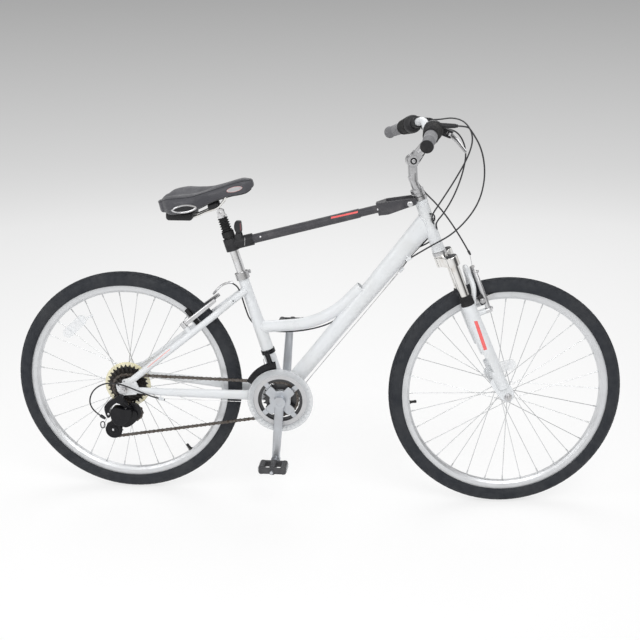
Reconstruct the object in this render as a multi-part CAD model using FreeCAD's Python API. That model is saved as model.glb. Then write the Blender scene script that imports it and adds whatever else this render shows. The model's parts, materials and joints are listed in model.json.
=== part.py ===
import FreeCAD, Part
import math
import os

V = FreeCAD.Vector
ORIGIN = V(0, 0, 0)
AXIS_X = V(1, 0, 0)
AXIS_Y = V(0, 1, 0)
AXIS_Z = V(0, 0, 1)
RIGHT = -1
LEFT = 1
SIDES = (RIGHT, LEFT)

# Layout of the whole bike, in millimetres and degrees. +X is forward, the drive side is -Y.
wheelbase = 1066.0
wheel_radius = 325.0
bottom_bracket_reach = 441.5
bottom_bracket_drop = 25.0
seat_angle = 72.6
head_angle = 69.2
fork_offset = 38.0
rest_steer = 7.4
stem_turn = 3.9

# Clearances: between moving bodies, on shafts, and between seated pieces of one body.
running_gap = 0.35
shaft_clearance = 0.06
seat_clearance = 0.05
cut_overrun = 6.0
bend_trim_share = 0.45

# Frame tubes.
tube_wall = 1.8
head_tube_radius = 17.0
head_tube_bore = 14.5
head_tube_length = 147.0
head_tube_base = 442.6
head_tube_collar = 1.2
head_tube_collar_height = 9.0
down_tube_join = 87.4
down_tube_head_depth = 58.0
down_tube_head_width = 31.0
down_tube_mid_depth = 50.0
down_tube_mid_width = 38.0
down_tube_foot_depth = 46.0
down_tube_foot_width = 42.0
down_tube_mid_share = 0.3
top_tube_radius = 16.5
top_tube_start = 206.0
top_tube_rise = 5.2
top_tube_straight_share = 0.1433
top_tube_radius_share = 0.4051
top_tube_bend = 41.0
top_tube_tail_share = 0.0833
seat_tube_length = 362.0
seat_tube_top_radius = 14.8
seat_tube_foot_radius = 17.5
seat_tube_taper_share = 0.55
seat_tube_neck_share = 0.85
shell_radius = 20.5
shell_width = 68.0
shell_bore = 17.0
cup_flange_radius = 19.5
cup_flange_width = 3.5
spindle_radius = 8.5

# Stays and dropouts.
dropout_spacing = 135.0
dropout_thickness = 5.5
dropout_size = 44.0
dropout_outline_shares = (
    (-0.44, -0.12), (-0.52, 0.28), (-0.1, 0.44), (0.08, 0.68), (0.42, 0.8), (0.78, 0.56),
    (1.0, 0.04), (0.78, -0.32), (0.2, -0.38), (-0.2, -0.42),
)
eyelet_radius = 5.5
eyelet_bore = 2.5
stay_eyelet_shares = (0.03, 0.55)
rear_eyelet_shares = (-0.36, 0.27)
hanger_radius = 9.5
hanger_bore = 4.5
hanger_shares = (-0.25, -0.6)
chain_stay_height = 28.0
chain_stay_width = 18.0
chain_stay_shares = (
    (0.965, 0.33, 1.0, 1.0), (0.68, 0.56, 0.98, 0.94), (0.28, 0.9, 0.78, 0.9), (0.085, 0.985, 0.66, 0.72),
)
chain_stay_sag = 1.5
seat_stay_radius = 9.5
seat_stay_bend = 253.0
seat_stay_foot = V(20.0, 0, 24.0)
seat_stay_join = 322.0
seat_stay_bow_share = 0.72
seat_stay_bow_spread = 40.5
seat_stay_top_spread = 15.0
bridge_radius = 6.0
bridge_share = 0.86
rack_boss_radius = 5.0
rack_boss_length = 6.0
rack_boss_share = 0.9

# Headset and seat clamp.
headset_cup_height = 11.0
headset_cup_radius = 19.5
headset_cup_step = 2.0
crown_race_height = 3.2
locknut_stack = 22.0
locknut_split_share = 0.52
locknut_radius = 18.0
locknut_groove = 1.4
seat_clamp_height = 20.0
seat_clamp_wall = 4.2
seat_clamp_slit = 2.4
seat_clamp_ear = 13.0
seat_clamp_bolt_radius = 3.0
seat_clamp_bolt_length = 40.0
seat_clamp_nut_radius = 5.5

# Wheels.
tyre_width = 45.0
tyre_wall = 3.2
tread_thickness = 4.6
tyre_shoulder_share = 0.78
tyre_wide_share = 0.42
tyre_edge_share = 0.77
rim_edge_radius = 288.0
rim_floor_radius = 276.0
rim_inner_radius = 267.0
rim_width = 25.0
rim_flange = 1.8
rim_inner_width = 15.0
rim_shelf_share = 1.5
rim_waist_share = 0.7
tread_groove_width = 2.4
tread_groove_depth = 1.5
tread_groove_shares = (-0.34, 0.34)
valve_radius = 3.6
valve_length = 27.0
front_valve_angle = 165.7
rear_valve_angle = -46.7
spoke_count = 32
spoke_radius = 1.0
spoke_cross = 3
spoke_ride_share = 1.6
nipple_radius = 1.9
nipple_length = 12.0
hub_shell_radius = 14.0
front_flange_radius = 21.0
front_flange_y = 33.0
rear_flange_radius = 24.0
rear_flange_right = 20.0
rear_flange_left = 33.0
flange_thickness = 3.0
flange_edge = 3.2
axle_radius = 5.0
axle_tip_radius = 4.6
axle_stub = 17.0
axle_nut_radius = 9.0
axle_nut_width = 8.0
axle_washer_radius = 11.0
axle_washer_width = 2.0
cone_radius = 8.5
front_hub_end = 42.0
fork_spacing = 100.0
reflector_length = 84.0
reflector_height = 30.0
reflector_thickness = 7.0
reflector_clip_radius = 3.5
front_reflector_radius = 82.0
front_reflector_angle = 82.0
rear_reflector_radius = 222.0
rear_reflector_angle = 132.5

# Freewheel, chain and chainrings.
chain_pitch = 12.7
roller_radius = 3.8
roller_bore = 1.9
pin_radius = 1.6
pin_overhang = 0.3
link_plate_radius = 4.1
link_plate_waist = 3.1
link_plate_thickness = 0.9
chain_inner_width = 3.0
chain_plate_gap = 0.3
link_waist_angle = 50.0
roller_step_shares = (0.99, 1.3)
tooth_tip = 2.9
tooth_tip_width = 1.5
tooth_thickness = 1.8
seat_arc_half = 62.0
sprocket_teeth = (14, 16, 18, 20, 22, 24, 28)
chain_sprocket = 2
sprocket_first_y = 61.5
sprocket_spacing = 5.3
freewheel_body_radius = 19.0
freewheel_boss_radius = 15.5
freewheel_end = 65.0
hub_boss_end = 54.0
guard_disc_radius = 66.0
guard_disc_thickness = 1.6
guard_disc_bore = 30.0
guard_disc_y = 27.0
ring_teeth = (24, 34, 42)
ring_y = (42.0, 49.5, 56.0)
ring_bore_shares = (0.58, 0.78, 0.74)
chain_guard_radius = 92.5
chain_guard_width = 17.0
chain_guard_thickness = 3.0
pulley_teeth = 11
guide_pulley_place = V(20.0, 0, -77.0)
cage_length = 80.0
cage_rest_angle = 217.5
cage_swing = 20.0
pulley_bore = 3.0
pulley_hub_radius = 7.0
pulley_hub_width = 6.4
cage_plate_radius = 21.0
cage_plate_thickness = 1.8
cage_half_gap = 5.6

# Rear derailleur body.
mech_knuckle_radius = 12.5
mech_knuckle_width = 15.0
mech_link_radius = 6.5
mech_link_spread = 8.0
mech_pivot_radius = 13.5
mech_pivot_width = 13.0

# Front derailleur.
front_mech_height = 133.0
front_mech_band_wall = 2.2
front_mech_band_height = 12.0
front_mech_inner_radius = 76.0
front_mech_outer_radius = 78.0
front_mech_tail_radius = 80.5
front_mech_bridge_radius = 2.2
front_mech_bridge_inset = 3.5
front_mech_top_radius = 108.0
front_mech_from_angle = 98.0
front_mech_to_angle = 152.0
front_mech_half_gap = 6.6
front_mech_plate = 1.4
front_mech_arm_radius = 7.0
front_mech_arm_turn = 8.0

# Cranks and pedals.
crank_length = 170.0
crank_angle = 265.9
crank_boss_radius = 17.0
crank_boss_inner = 60.0
crank_boss_outer = 80.0
crank_end_radius = 13.0
crank_end_inner = 74.0
crank_end_outer = 88.0
crank_root_width = 27.0
crank_tip_width = 22.0
crank_root_thickness = 15.0
crank_tip_thickness = 12.0
crank_bolt_radius = 9.0
crank_bolt_depth = 3.0
spider_arms = 4
spider_reach = 68.0
spider_turn = 45.0
spider_tip_share = 0.8
spider_arm_width = 17.0
spider_inner = 50.45
spider_outer = 54.95
spider_post_circle = 34.0
spider_post_radius = 5.0
pedal_spindle_radius = 4.5
pedal_spindle_length = 86.0
pedal_length = 86.0
pedal_width = 78.0
pedal_height = 26.0
pedal_corner = 9.0
upright_share = 0.9
pedal_rib = 11.0
pedal_barrel_radius = 12.0
pedal_start = 7.0
pedal_reflector_share = 0.72
pedal_reflector_height_share = 0.55
pedal_reflector_depth = 4.0

# Fork.
steerer_radius = 12.7
steerer_bore = 11.2
crown_height = 27.0
crown_hub_radius = 20.0
crown_arm_width = 30.0
stanchion_set_forward = 21.0
stanchion_spread = 55.0
stanchion_radius = 12.7
stanchion_bore = 10.5
stanchion_foot = 150.0
crown_clamp_radius = 17.5
stanchion_cap_radius = 11.0
stanchion_cap_height = 3.0
leg_top = 286.0
leg_bore_depth = 200.0
leg_depths_shares = ((1.0, 1.0, 1.0), (0.78, 1.06, 0.96), (0.42, 1.02, 0.84), (0.1, 0.84, 0.66))
leg_depth = 37.0
leg_width = 35.0
leg_lean_shares = (0.0, 0.12, 0.45, 0.85)
fork_end_thickness = 7.0
fork_end_depth = 34.0
fork_end_height = 52.0
fork_end_radius = 15.0
fork_end_tip_share = 0.8
wiper_height = 27.0
wiper_radius = 18.5
wiper_lip = 15.5
wiper_ribs = 3
wiper_rib_shares = (0.6, 0.7)
brace_radius = 7.0
brace_forward = 52.0
brace_height = 372.0
brace_shoulder_share = 0.45
brace_spread = 47.0

# Rim brakes. Heights are along the line from the hub to the brake.
brake_pivot_height = 250.0
brake_pivot_spread = 44.0
brake_post_radius = 4.0
brake_post_length = 19.0
brake_barrel_radius = 8.0
brake_barrel_length = 17.0
brake_arm_top = 363.0
brake_arm_top_spread = 31.0
brake_arm_width = 13.0
brake_arm_thickness = 8.0
brake_arm_tip_share = 0.4
brake_arm_bow_share = 0.55
front_brake_forward = 32.0
rear_brake_forward = -38.0
rear_stay_forward = -5.6
pad_height = 11.0
pad_length = 56.0
pad_thickness = 9.5
pad_gap = 2.0
pad_stud_radius = 3.0
pad_track_radius = 279.0

# Stem and handlebar, in the steering frame: forward of and up the steering axis.
quill_radius = 11.1
quill_foot = 545.0
stem_pivot_forward = 15.3
stem_pivot_height = 697.0
stem_neck_radius = 12.5
stem_disc_radius = 16.5
stem_disc_half = 10.5
stem_cheek_thickness = 7.0
stem_bolt_radius = 4.5
stem_bolt_head = 7.5
stem_bolt_head_width = 4.0
stem_beam_width = 24.0
stem_beam_depth = 24.0
bar_forward = 82.0
bar_height = 735.0
bar_radius = 11.1
bar_clamp_radius = 12.7
bar_clamp_wall = 5.0
bar_clamp_width = 44.0
bar_bulge_half = 30.0
bar_rise_spread = 85.0
bar_rise_forward = 95.0
bar_rise_height = 776.0
bar_end_spread = 300.0
bar_end_forward = 20.0
bar_end_height = 756.0
bar_bend_radius = 55.0
bar_bore = 9.1
grip_radius = 15.5
grip_length = 94.0
grip_flange = 2.0
grip_flange_width = 4.0
grip_ribs = 9
grip_rib_shares = (0.7, 0.75, 0.95)
twist_radius = 18.5
twist_length = 50.0
twist_ribs = 12
twist_rib_radius = 2.2
twist_shoulder = 3.0
housing_radius = 20.5
housing_length = 23.0
housing_nose_root = 8.0
housing_nose_tip = 5.5
housing_nose_length = 50.0
housing_nose_lift = 21.0
housing_nose_share = 0.6
bracket_radius = 15.5
bracket_width = 15.0
bracket_place = 184.0
bracket_reach = 42.0
bracket_neck_radius = 9.0
lever_pivot_out = 4.0
lever_pivot_radius = 3.5
lever_pivot_height = 11.0
lever_boss_radius = 7.0
lever_ear_thickness = 4.0
lever_blade_shares = ((0.1, 0.03), (0.36, 0.09), (0.72, 0.13), (1.0, 0.2))
lever_length = 98.0
lever_radius = 5.2
lever_lean = 39.4

# Seatpost and saddle.
seatpost_radius = 12.7
seatpost_bore = 10.6
seatpost_foot = 232.0
seatpost_top = 484.0
collar_radius = 17.0
collar_height = 15.0
bellows_radius = 20.5
bellows_root = 16.5
bellows_bore = 11.5
bellows_ribs = 6
bellows_rib_shares = (0.0, 0.3, 0.55, 0.85)
bellows_height = 41.0
piston_radius = 10.2
piston_foot = 400.0
piston_head_radius = 13.5
piston_head_height = 4.5
clamp_height = 548.0
saddle_setback = 15.0
saddle_lift = 13.5
clamp_tongue_half = 8.0
clamp_pin_radius = 4.0
clamp_disc_radius = 9.5
clamp_cheek = 6.0
cradle_length = 42.0
saddle_tilt = 14.0
rail_radius = 3.5
rail_spread = 20.0
saddle_length = 272.0
saddle_width = 194.0
saddle_depth = 62.0
saddle_back = 152.0
saddle_shares = (
    (0.0, 0.52, 0.42, 0.72), (0.07, 0.88, 0.1, 0.92), (0.2, 1.0, 0.0, 1.0), (0.36, 0.84, 0.06, 0.97),
    (0.54, 0.47, 0.17, 0.91), (0.74, 0.28, 0.29, 0.9), (0.92, 0.22, 0.42, 0.93), (1.0, 0.13, 0.56, 0.84),
)
saddle_shoulder_share = 0.74
saddle_side_share = 0.45
saddle_hem_share = 0.86
saddle_lip_share = 0.86
base_thickness = 5.0
base_inset = 5.0
socket_radius = 5.5
socket_rise_share = 1.25
rail_nose_share = 0.86
rail_low = 8.0
rail_front_share = 0.42
rail_back_shares = (0.32, 0.72)
rail_end_height_shares = (0.36, 0.06)
rail_end_spread_shares = (0.35, 1.9)
cradle_lap_share = 1.5

# Carrier bar between seatpost and head.
carrier_height = 454.0
carrier_aim = 4.7
carrier_ring_wall = 6.5
carrier_ring_height = 34.0
carrier_socket_radius = 16.5
carrier_socket_reach = 62.0
carrier_tube_radius = 12.7
carrier_tube_bore = 11.3
carrier_tube_start = 48.0
carrier_tube_share = 0.6857
carrier_slide_radius = 11.1
carrier_slide_bore = 9.4
carrier_slide_gap = 102.9
yoke_block = 28.0
yoke_half_gap = 22.5
yoke_prong = 8.0
yoke_reach = 100.0
yoke_depth = 34.0
yoke_root_share = 0.45
yoke_tip_share = 0.55
yoke_bolt_reach = 84.0
yoke_bolt_radius = 3.5
yoke_bolt_head = 8.5
yoke_bolt_head_width = 4.0
carrier_lever_length = 38.0
carrier_lever_width = 15.0
carrier_lever_thickness = 5.0
carrier_lever_pin = 2.5
carrier_lever_tip_share = 0.7
carrier_lever_out = 26.0
carrier_lever_ear = 9.0

# Cables. Each route is a list of points, measured from the ground below the rear axle.
cable_radius = 2.5
wire_radius = 0.9
cable_bend = 300.0
cable_lead = 28.0
stop_radius = 4.4
stop_length = 12.0
stop_leg_radius = 2.4
route_wheelbase = 1066.0
route_head = 757.0
right_shift_route = (
    (946, -134, 1068), (982, -116, 1014), (994, -94, 938),
    (975, -66, 858), (915, -43, 783), (850, -30, 744), (790, -23, 704),
)
right_wire_route = (
    (783, -22, 695), (757, -12, 651), (520, -9, 353), (470, -8, 283),
    (441, -9, 276.8), (380, -28, 281), (112, -62, 297)
)
rear_loop_route = (
    (106, -64, 296), (84, -77, 305), (14, -84, 338), (-20, -83, 347),
    (-58, -81, 344), (-90, -79, 321), (-103, -77, 286),
    (-90, -76, 256), (-66, -74, 240),
)
left_shift_route = (
    (904, 146, 1066), (940, 80, 1062), (962, 26, 1030), (948, -4, 984),
    (914, -16, 922), (876, -22, 856), (856, -23, 820),
    (874, -12, 795), (876, 16, 772), (852, 27, 742), (804, 18, 700), (770, 9, 664),
)
left_wire_route = (
    (764, 9, 656), (520, 9, 350), (470, 8, 281), (436, 6, 276.2),
    (410, 2, 292), (396, -14, 350), (392, -24, 410)
)
rear_brake_route = (
    (918, -60, 1050), (940, -56, 1004), (931, -54, 950), (912, -48, 890), (888, -36, 836), (866, -24, 801),
    (884, -8, 776), (880, 22, 752), (846, 32, 724), (752, 27, 690),
    (650, 27, 562), (600, 24, 520), (560, 12, 500),
    (494, 10, 484), (428, 16, 478), (380, 26, 484), (350, 14, 508), (338, 0, 556),
    (326, 0, 600), (314, 0, 619), (294, 0, 626), (270, -8, 614), (258, -20, 600),
)
front_brake_route = (
    (874, 76, 1030), (846, 46, 980), (814, 24, 930), (836, 12, 888),
    (876, 0, 844), (922, -10, 780), (955, -10, 723),
)


def direction(degrees):
    """Unit vector in the bike's side plane, turned up from +X."""
    angle = math.radians(degrees)
    return V(math.cos(angle), 0, math.sin(angle))


def placed(shape, placement):
    copy = shape.copy()
    copy.Placement = placement.multiply(copy.Placement)
    return copy


def along(shape, base, axis):
    """Stands a shape that was made along +Z on a base point, pointing along an axis."""
    return placed(shape, FreeCAD.Placement(base, FreeCAD.Rotation(AXIS_Z, axis)))


def rod(start, end, radius):
    run = end - start
    return Part.makeCylinder(radius, run.Length, start, run)


def pipe_between(start, end, radius, bore):
    reach = (end - start).normalize() * cut_overrun
    return rod(start, end, radius).cut(rod(start - reach, end + reach, bore))


def lathe(profile, base, axis):
    """Turns a closed outline of (radius, height) points about an axis."""
    corners = [V(radius, 0, height) for radius, height in profile]
    face = Part.Face(Part.makePolygon(corners + corners[:1]))
    return along(face.revolve(ORIGIN, AXIS_Z, 360), base, axis)


def slab(corners, depth):
    """Plate from a flat outline, extruded along a vector."""
    return Part.Face(Part.makePolygon(corners + corners[:1])).extrude(depth)


def fused(shapes):
    return shapes[0].fuse(shapes[1:]).removeSplitter()


def largest(shape):
    return max(shape.Solids, key=lambda solid: solid.Volume)


def arc_edge(start, middle, end):
    return Part.Arc(start, middle, end).toShape()


def mirrored(shape):
    return shape.mirror(ORIGIN, AXIS_Y)


def route_wire(points, bend):
    """Straight runs joined by tangent arcs, as large as a bend radius and the runs allow."""
    edges = []
    start = points[0]
    radii = []
    for before, corner, after in zip(points, points[1:], points[2:]):
        back = (before - corner).normalize()
        ahead = (after - corner).normalize()
        half = math.pi / 2 - back.getAngle(ahead) / 2
        trim = min(
            bend * math.tan(half), bend_trim_share * min((before - corner).Length, (after - corner).Length)
        )
        radius = trim / math.tan(half)
        radii.append(radius)
        enter = corner + back * trim
        leave = corner + ahead * trim
        middle_way = (back + ahead).normalize()
        middle = corner + middle_way * (radius / math.cos(half) - radius)
        edges.append(Part.makeLine(start, enter))
        edges.append(arc_edge(enter, middle, leave))
        start = leave
    edges.append(Part.makeLine(start, points[-1]))
    return Part.Wire(edges), radii


def bent_rod(points, radius, bend):
    path = route_wire(points, bend)[0]
    section = Part.Wire(Part.Circle(points[0], points[1] - points[0], radius).toShape())
    return path.makePipeShell([section], True, False)


def oval(center, normal, depth_way, half_depth, half_width):
    """Ellipse, deeper than wide, square to a normal."""
    edge = Part.Ellipse(ORIGIN, half_depth, half_width).toShape()
    turn = FreeCAD.Rotation(depth_way, normal.cross(depth_way), normal, "ZXY")
    return Part.Wire(placed(edge, FreeCAD.Placement(center, turn)))


# Reference points and frames.
rear_hub = V(-wheelbase / 2, 0, wheel_radius)
front_hub = V(wheelbase / 2, 0, wheel_radius)
bottom_bracket = rear_hub + V(bottom_bracket_reach, 0, -bottom_bracket_drop)
seat_way = direction(180 - seat_angle)
steer_way = direction(180 - head_angle)
steer_forward = direction(90 - head_angle)
steer_foot = front_hub - steer_forward * fork_offset
straight_frame = FreeCAD.Placement(steer_foot, FreeCAD.Rotation(AXIS_Y, head_angle - 90))
steered_frame = straight_frame.multiply(FreeCAD.Placement(ORIGIN, FreeCAD.Rotation(AXIS_Z, rest_steer)))
bar_frame = steered_frame.multiply(FreeCAD.Placement(ORIGIN, FreeCAD.Rotation(AXIS_Z, stem_turn)))
front_wheel_frame = steered_frame.multiply(FreeCAD.Placement(V(fork_offset, 0, 0), FreeCAD.Rotation()))
rear_wheel_frame = FreeCAD.Placement(rear_hub, FreeCAD.Rotation())
head_top = head_tube_base + head_tube_length
front_reach = wheelbase - bottom_bracket_reach


def seat_point(distance):
    """Point on the seat tube's axis, up from the bottom bracket."""
    return bottom_bracket + seat_way * distance


# Frame tubes

def head_tube_form(reach):
    collar = head_tube_radius + head_tube_collar
    profile = [
        (0, -reach), (collar, -reach), (collar, head_tube_collar_height),
        (head_tube_radius, head_tube_collar_height + head_tube_collar),
        (head_tube_radius, head_tube_length - head_tube_collar_height - head_tube_collar),
        (collar, head_tube_length - head_tube_collar_height), (collar, head_tube_length + reach),
        (0, head_tube_length + reach),
    ]
    return placed(lathe(profile, V(0, 0, head_tube_base), AXIS_Z), straight_frame)


def head_tube():
    base = straight_frame.multVec(V(0, 0, head_tube_base))
    top = straight_frame.multVec(V(0, 0, head_top))
    reach = steer_way * cut_overrun
    return head_tube_form(0).cut(rod(base - reach, top + reach, head_tube_bore))


def down_tube_form(wall):
    start = straight_frame.multVec(V(0, 0, head_tube_base + down_tube_join))
    run = bottom_bracket - start
    way = V(run).normalize()
    depth_way = AXIS_Y.cross(way)
    sizes = (
        (0, down_tube_head_depth, down_tube_head_width),
        (down_tube_mid_share, down_tube_mid_depth, down_tube_mid_width),
        (1, down_tube_foot_depth, down_tube_foot_width),
    )
    sections = [
        oval(start + run * share, way, depth_way, depth / 2 - wall, width / 2 - wall)
        for share, depth, width in sizes
    ]
    return Part.makeLoft(sections, True)


def seat_tube_form(inset):
    taper = seat_tube_length * seat_tube_taper_share
    neck = seat_tube_length * seat_tube_neck_share
    profile = [
        (0, 0), (seat_tube_foot_radius - inset, 0), (seat_tube_foot_radius - inset, taper),
        (seat_tube_top_radius - inset, neck), (seat_tube_top_radius - inset, seat_tube_length),
        (0, seat_tube_length),
    ]
    return lathe(profile, bottom_bracket, seat_way)


def shell_form():
    half = AXIS_Y * (shell_width / 2)
    return rod(bottom_bracket - half, bottom_bracket + half, shell_radius)


def cable_stop(end, before, foot, tube):
    """Socket that a cable housing ends in, on a leg that stands on a tube."""
    way = (before - end).normalize()
    start = end - way * stop_radius
    back = end + way * stop_length
    leg = rod((end + back) / 2, foot, stop_leg_radius)
    body = fused([rod(start, back, stop_radius), leg])
    body = body.cut(rod(end, back + way * cut_overrun, cable_radius + seat_clearance))
    return largest(body.cut(rod(start - way, end, wire_radius + seat_clearance)).cut(tube))


def down_tube():
    tube = down_tube_form(0).cut(down_tube_form(tube_wall))
    for neighbour in (head_tube_form(0), shell_form(), seat_tube_form(0)):
        tube = tube.cut(neighbour)
    line = (straight_frame.multVec(V(0, 0, head_tube_base + down_tube_join)), bottom_bracket)
    stops = []
    for route in (right_shift_route, left_shift_route):
        before, end = routed(route)[-2:]
        stops.append(cable_stop(end, before, foot_on_line(line, end), down_tube_form(0)))
    return Part.makeCompound([largest(tube)] + stops)


def seat_tube():
    reach = seat_way * cut_overrun
    bore = seatpost_radius + running_gap
    tube = seat_tube_form(0).cut(rod(bottom_bracket, seat_point(seat_tube_length) + reach, bore))
    return largest(tube.cut(shell_form()))


def top_tube_path():
    start = seat_point(top_tube_start)
    bend_start = start + direction(top_tube_rise) * (front_reach * top_tube_straight_share)
    radius = front_reach * top_tube_radius_share
    centre = bend_start + direction(top_tube_rise + 90) * radius
    middle = centre + direction(top_tube_rise - 90 + top_tube_bend / 2) * radius
    bend_end = centre + direction(top_tube_rise - 90 + top_tube_bend) * radius
    tail = bend_end + direction(top_tube_rise + top_tube_bend) * (front_reach * top_tube_tail_share)
    return Part.Wire([
        Part.makeLine(start, bend_start),
        arc_edge(bend_start, middle, bend_end), Part.makeLine(bend_end, tail),
    ])


def top_tube():
    path = top_tube_path()
    start = seat_point(top_tube_start)

    def swept(radius):
        circle = Part.Wire(Part.Circle(start, direction(top_tube_rise), radius).toShape())
        return path.makePipeShell([circle], True, False)

    tube = swept(top_tube_radius).cut(swept(top_tube_radius - tube_wall))
    return largest(tube.cut(seat_tube_form(0)).cut(down_tube_form(0)))


def bottom_bracket_shell():
    reach = AXIS_Y * (shell_width / 2 + cut_overrun)
    shell = shell_form().cut(rod(bottom_bracket - reach, bottom_bracket + reach, shell_bore))
    half = shell_width / 2
    profile = [
        (spindle_radius + shaft_clearance, half / 2), (shell_bore, half / 2), (shell_bore, half),
        (cup_flange_radius, half), (cup_flange_radius, half + cup_flange_width),
        (spindle_radius + shaft_clearance, half + cup_flange_width),
    ]
    cups = [lathe(profile, bottom_bracket, AXIS_Y * side) for side in SIDES]
    return Part.makeCompound([shell] + cups)


# Stays and dropouts

def dropout_place(shares, side):
    inner = dropout_spacing / 2 * side
    return rear_hub + V(shares[0] * dropout_size, inner, shares[1] * dropout_size)


def dropout(side):
    thickness = AXIS_Y * (dropout_thickness * side)
    pieces = [slab([dropout_place(shares, side) for shares in dropout_outline_shares], thickness)]
    holes = [(V(rear_hub.x, dropout_spacing / 2 * side, rear_hub.z), axle_radius + seat_clearance)]
    for shares in (stay_eyelet_shares, rear_eyelet_shares):
        pieces.append(
            rod(dropout_place(shares, side), dropout_place(shares, side) + thickness, eyelet_radius)
        )
        holes.append((dropout_place(shares, side), eyelet_bore))
    if side == RIGHT:
        place = dropout_place(hanger_shares, side)
        pieces.append(rod(place, place + thickness, hanger_radius))
        holes.append((place, hanger_bore))
    plate = fused(pieces)
    for place, bore in holes:
        plate = plate.cut(rod(place - thickness, place + thickness * 2, bore))
    return plate


def chain_stay(side):
    run = rear_hub - bottom_bracket
    way = V(run).normalize()
    depth_way = AXIS_Y.cross(way)
    sections = []
    for share, spread, height, width in chain_stay_shares:
        center = rear_hub - run * share
        center += V(0, dropout_spacing / 2 * spread * side, -chain_stay_sag)
        sections.append(
            oval(center, way, depth_way, chain_stay_height * height / 2, chain_stay_width * width / 2)
        )
    stay = Part.makeLoft(sections, True)
    return largest(stay.cut(shell_form()).cut(dropout(side)))


def chain_stays():
    pieces = []
    for side in SIDES:
        pieces += [chain_stay(side), dropout(side)]
    end, after = routed(rear_loop_route)[:2]
    foot = end + AXIS_Z * chain_stay_height
    return Part.makeCompound(pieces + [cable_stop(end, after, foot, chain_stay(RIGHT))])


def seat_stay_points(side):
    foot = rear_hub + seat_stay_foot + AXIS_Y * (dropout_spacing / 2 * side)
    top = seat_point(seat_stay_join) + AXIS_Y * (seat_stay_top_spread * side)
    bow = foot + (top - foot) * seat_stay_bow_share
    bow.y = seat_stay_bow_spread * side
    return foot, bow, top


def seat_stay(side):
    foot, bow, top = seat_stay_points(side)
    stay = bent_rod([foot, bow, top], seat_stay_radius, seat_stay_bend)
    post_end = rear_brake_frame.multVec(V(rear_brake_forward, brake_pivot_spread * side, brake_pivot_height))
    post_start = rear_brake_frame.multVec(V(rear_stay_forward, brake_pivot_spread * side, brake_pivot_height))
    post_way = (post_end - post_start).normalize()
    post = rod(post_start, post_end - post_way * (brake_barrel_length / 2 + running_gap), brake_barrel_radius)
    pin = rod(post_start, post_end + post_way * (brake_barrel_length / 2), brake_post_radius)
    boss_place = foot + (top - foot) * rack_boss_share
    boss_place.y = bow.y + (top.y - bow.y) * (rack_boss_share - seat_stay_bow_share) / (
        1 - seat_stay_bow_share
    )
    boss_way = AXIS_Y * side
    boss = rod(boss_place, boss_place + boss_way * (seat_stay_radius + rack_boss_length), rack_boss_radius)
    hole = rod(boss_place, boss_place + boss_way * (seat_stay_radius + rack_boss_length * 2), eyelet_bore)
    body = fused([stay, post, pin, boss]).cut(hole)
    body = body.cut(seat_tube_form(0)).cut(dropout(side)).cut(chain_stay(side))
    sprocket_face = rear_hub - AXIS_Y * (sprocket_first_y + tooth_thickness)
    sprocket_room = rod(
        sprocket_face, rear_hub, pitch_radius(sprocket_teeth[1]) + tooth_tip + tooth_thickness
    )
    return largest(body.cut(sprocket_room))


def seat_stays():
    right, left = (seat_stay(side) for side in SIDES)
    foot, bow, top = seat_stay_points(RIGHT)
    place = foot + (top - foot) * bridge_share
    spread = V(0, place.y, 0)
    place.y = 0
    bridge = rod(place + spread, place - spread, bridge_radius).cut(right).cut(left)
    return Part.makeCompound([right, left, largest(bridge)])


# Headset, seat clamp

def headset_cups():
    bore = steerer_radius + running_gap
    rim = headset_cup_radius - headset_cup_step
    profile = [
        (bore, -headset_cup_height / 2), (head_tube_bore, -headset_cup_height / 2), (head_tube_bore, 0),
        (rim, 0), (headset_cup_radius, headset_cup_step), (headset_cup_radius, headset_cup_height),
        (bore, headset_cup_height),
    ]
    upper = lathe(profile, V(0, 0, head_top), AXIS_Z)
    lower = lathe(profile, V(0, 0, head_tube_base), -AXIS_Z)
    return Part.makeCompound([placed(cup, straight_frame) for cup in (upper, lower)])


def seat_clamp():
    """Split collar at the top of the seat tube, closed by a bolt on its left side."""
    base = seat_point(seat_tube_length)
    low = base - seat_way * (seat_clamp_height / 2)
    high = base + seat_way * (seat_clamp_height / 2)
    reach = seat_way * cut_overrun
    outer = seat_tube_top_radius + seat_clamp_wall
    bolt_way = AXIS_Y.cross(seat_way)
    ear_half = bolt_way * (seat_clamp_wall + seat_clamp_slit / 2)
    corners = [low - ear_half, low + ear_half, high + ear_half, high - ear_half]
    ears = slab(corners, AXIS_Y * (outer + seat_clamp_ear))
    collar = fused([rod(low, high, outer), ears])
    collar = collar.cut(rod(low - reach, base, seat_tube_top_radius))
    collar = collar.cut(rod(base - reach, high + reach, seatpost_radius + running_gap))
    slit_half = bolt_way * (seat_clamp_slit / 2)
    slit = [
        low - slit_half - reach, low + slit_half - reach, high + slit_half + reach, high - slit_half + reach
    ]
    collar = collar.cut(slab(slit, AXIS_Y * (outer + seat_clamp_ear * 2)))
    place = base + AXIS_Y * (outer + seat_clamp_ear / 2)
    span = bolt_way * (seat_clamp_bolt_length / 2)
    bolt = rod(place - span, place + span, seat_clamp_bolt_radius)
    collar = collar.cut(bolt)
    heads = [
        rod(place + ear_half * sign, place + span * sign, seat_clamp_nut_radius).cut(bolt) for sign in SIDES
    ]
    return Part.makeCompound([collar, bolt] + heads)


# Wheels, made about the hub's centre with the axle along Y

def wheel_point(radius, degrees, side_y):
    angle = math.radians(degrees)
    return V(radius * math.cos(angle), side_y, radius * math.sin(angle))


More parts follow.
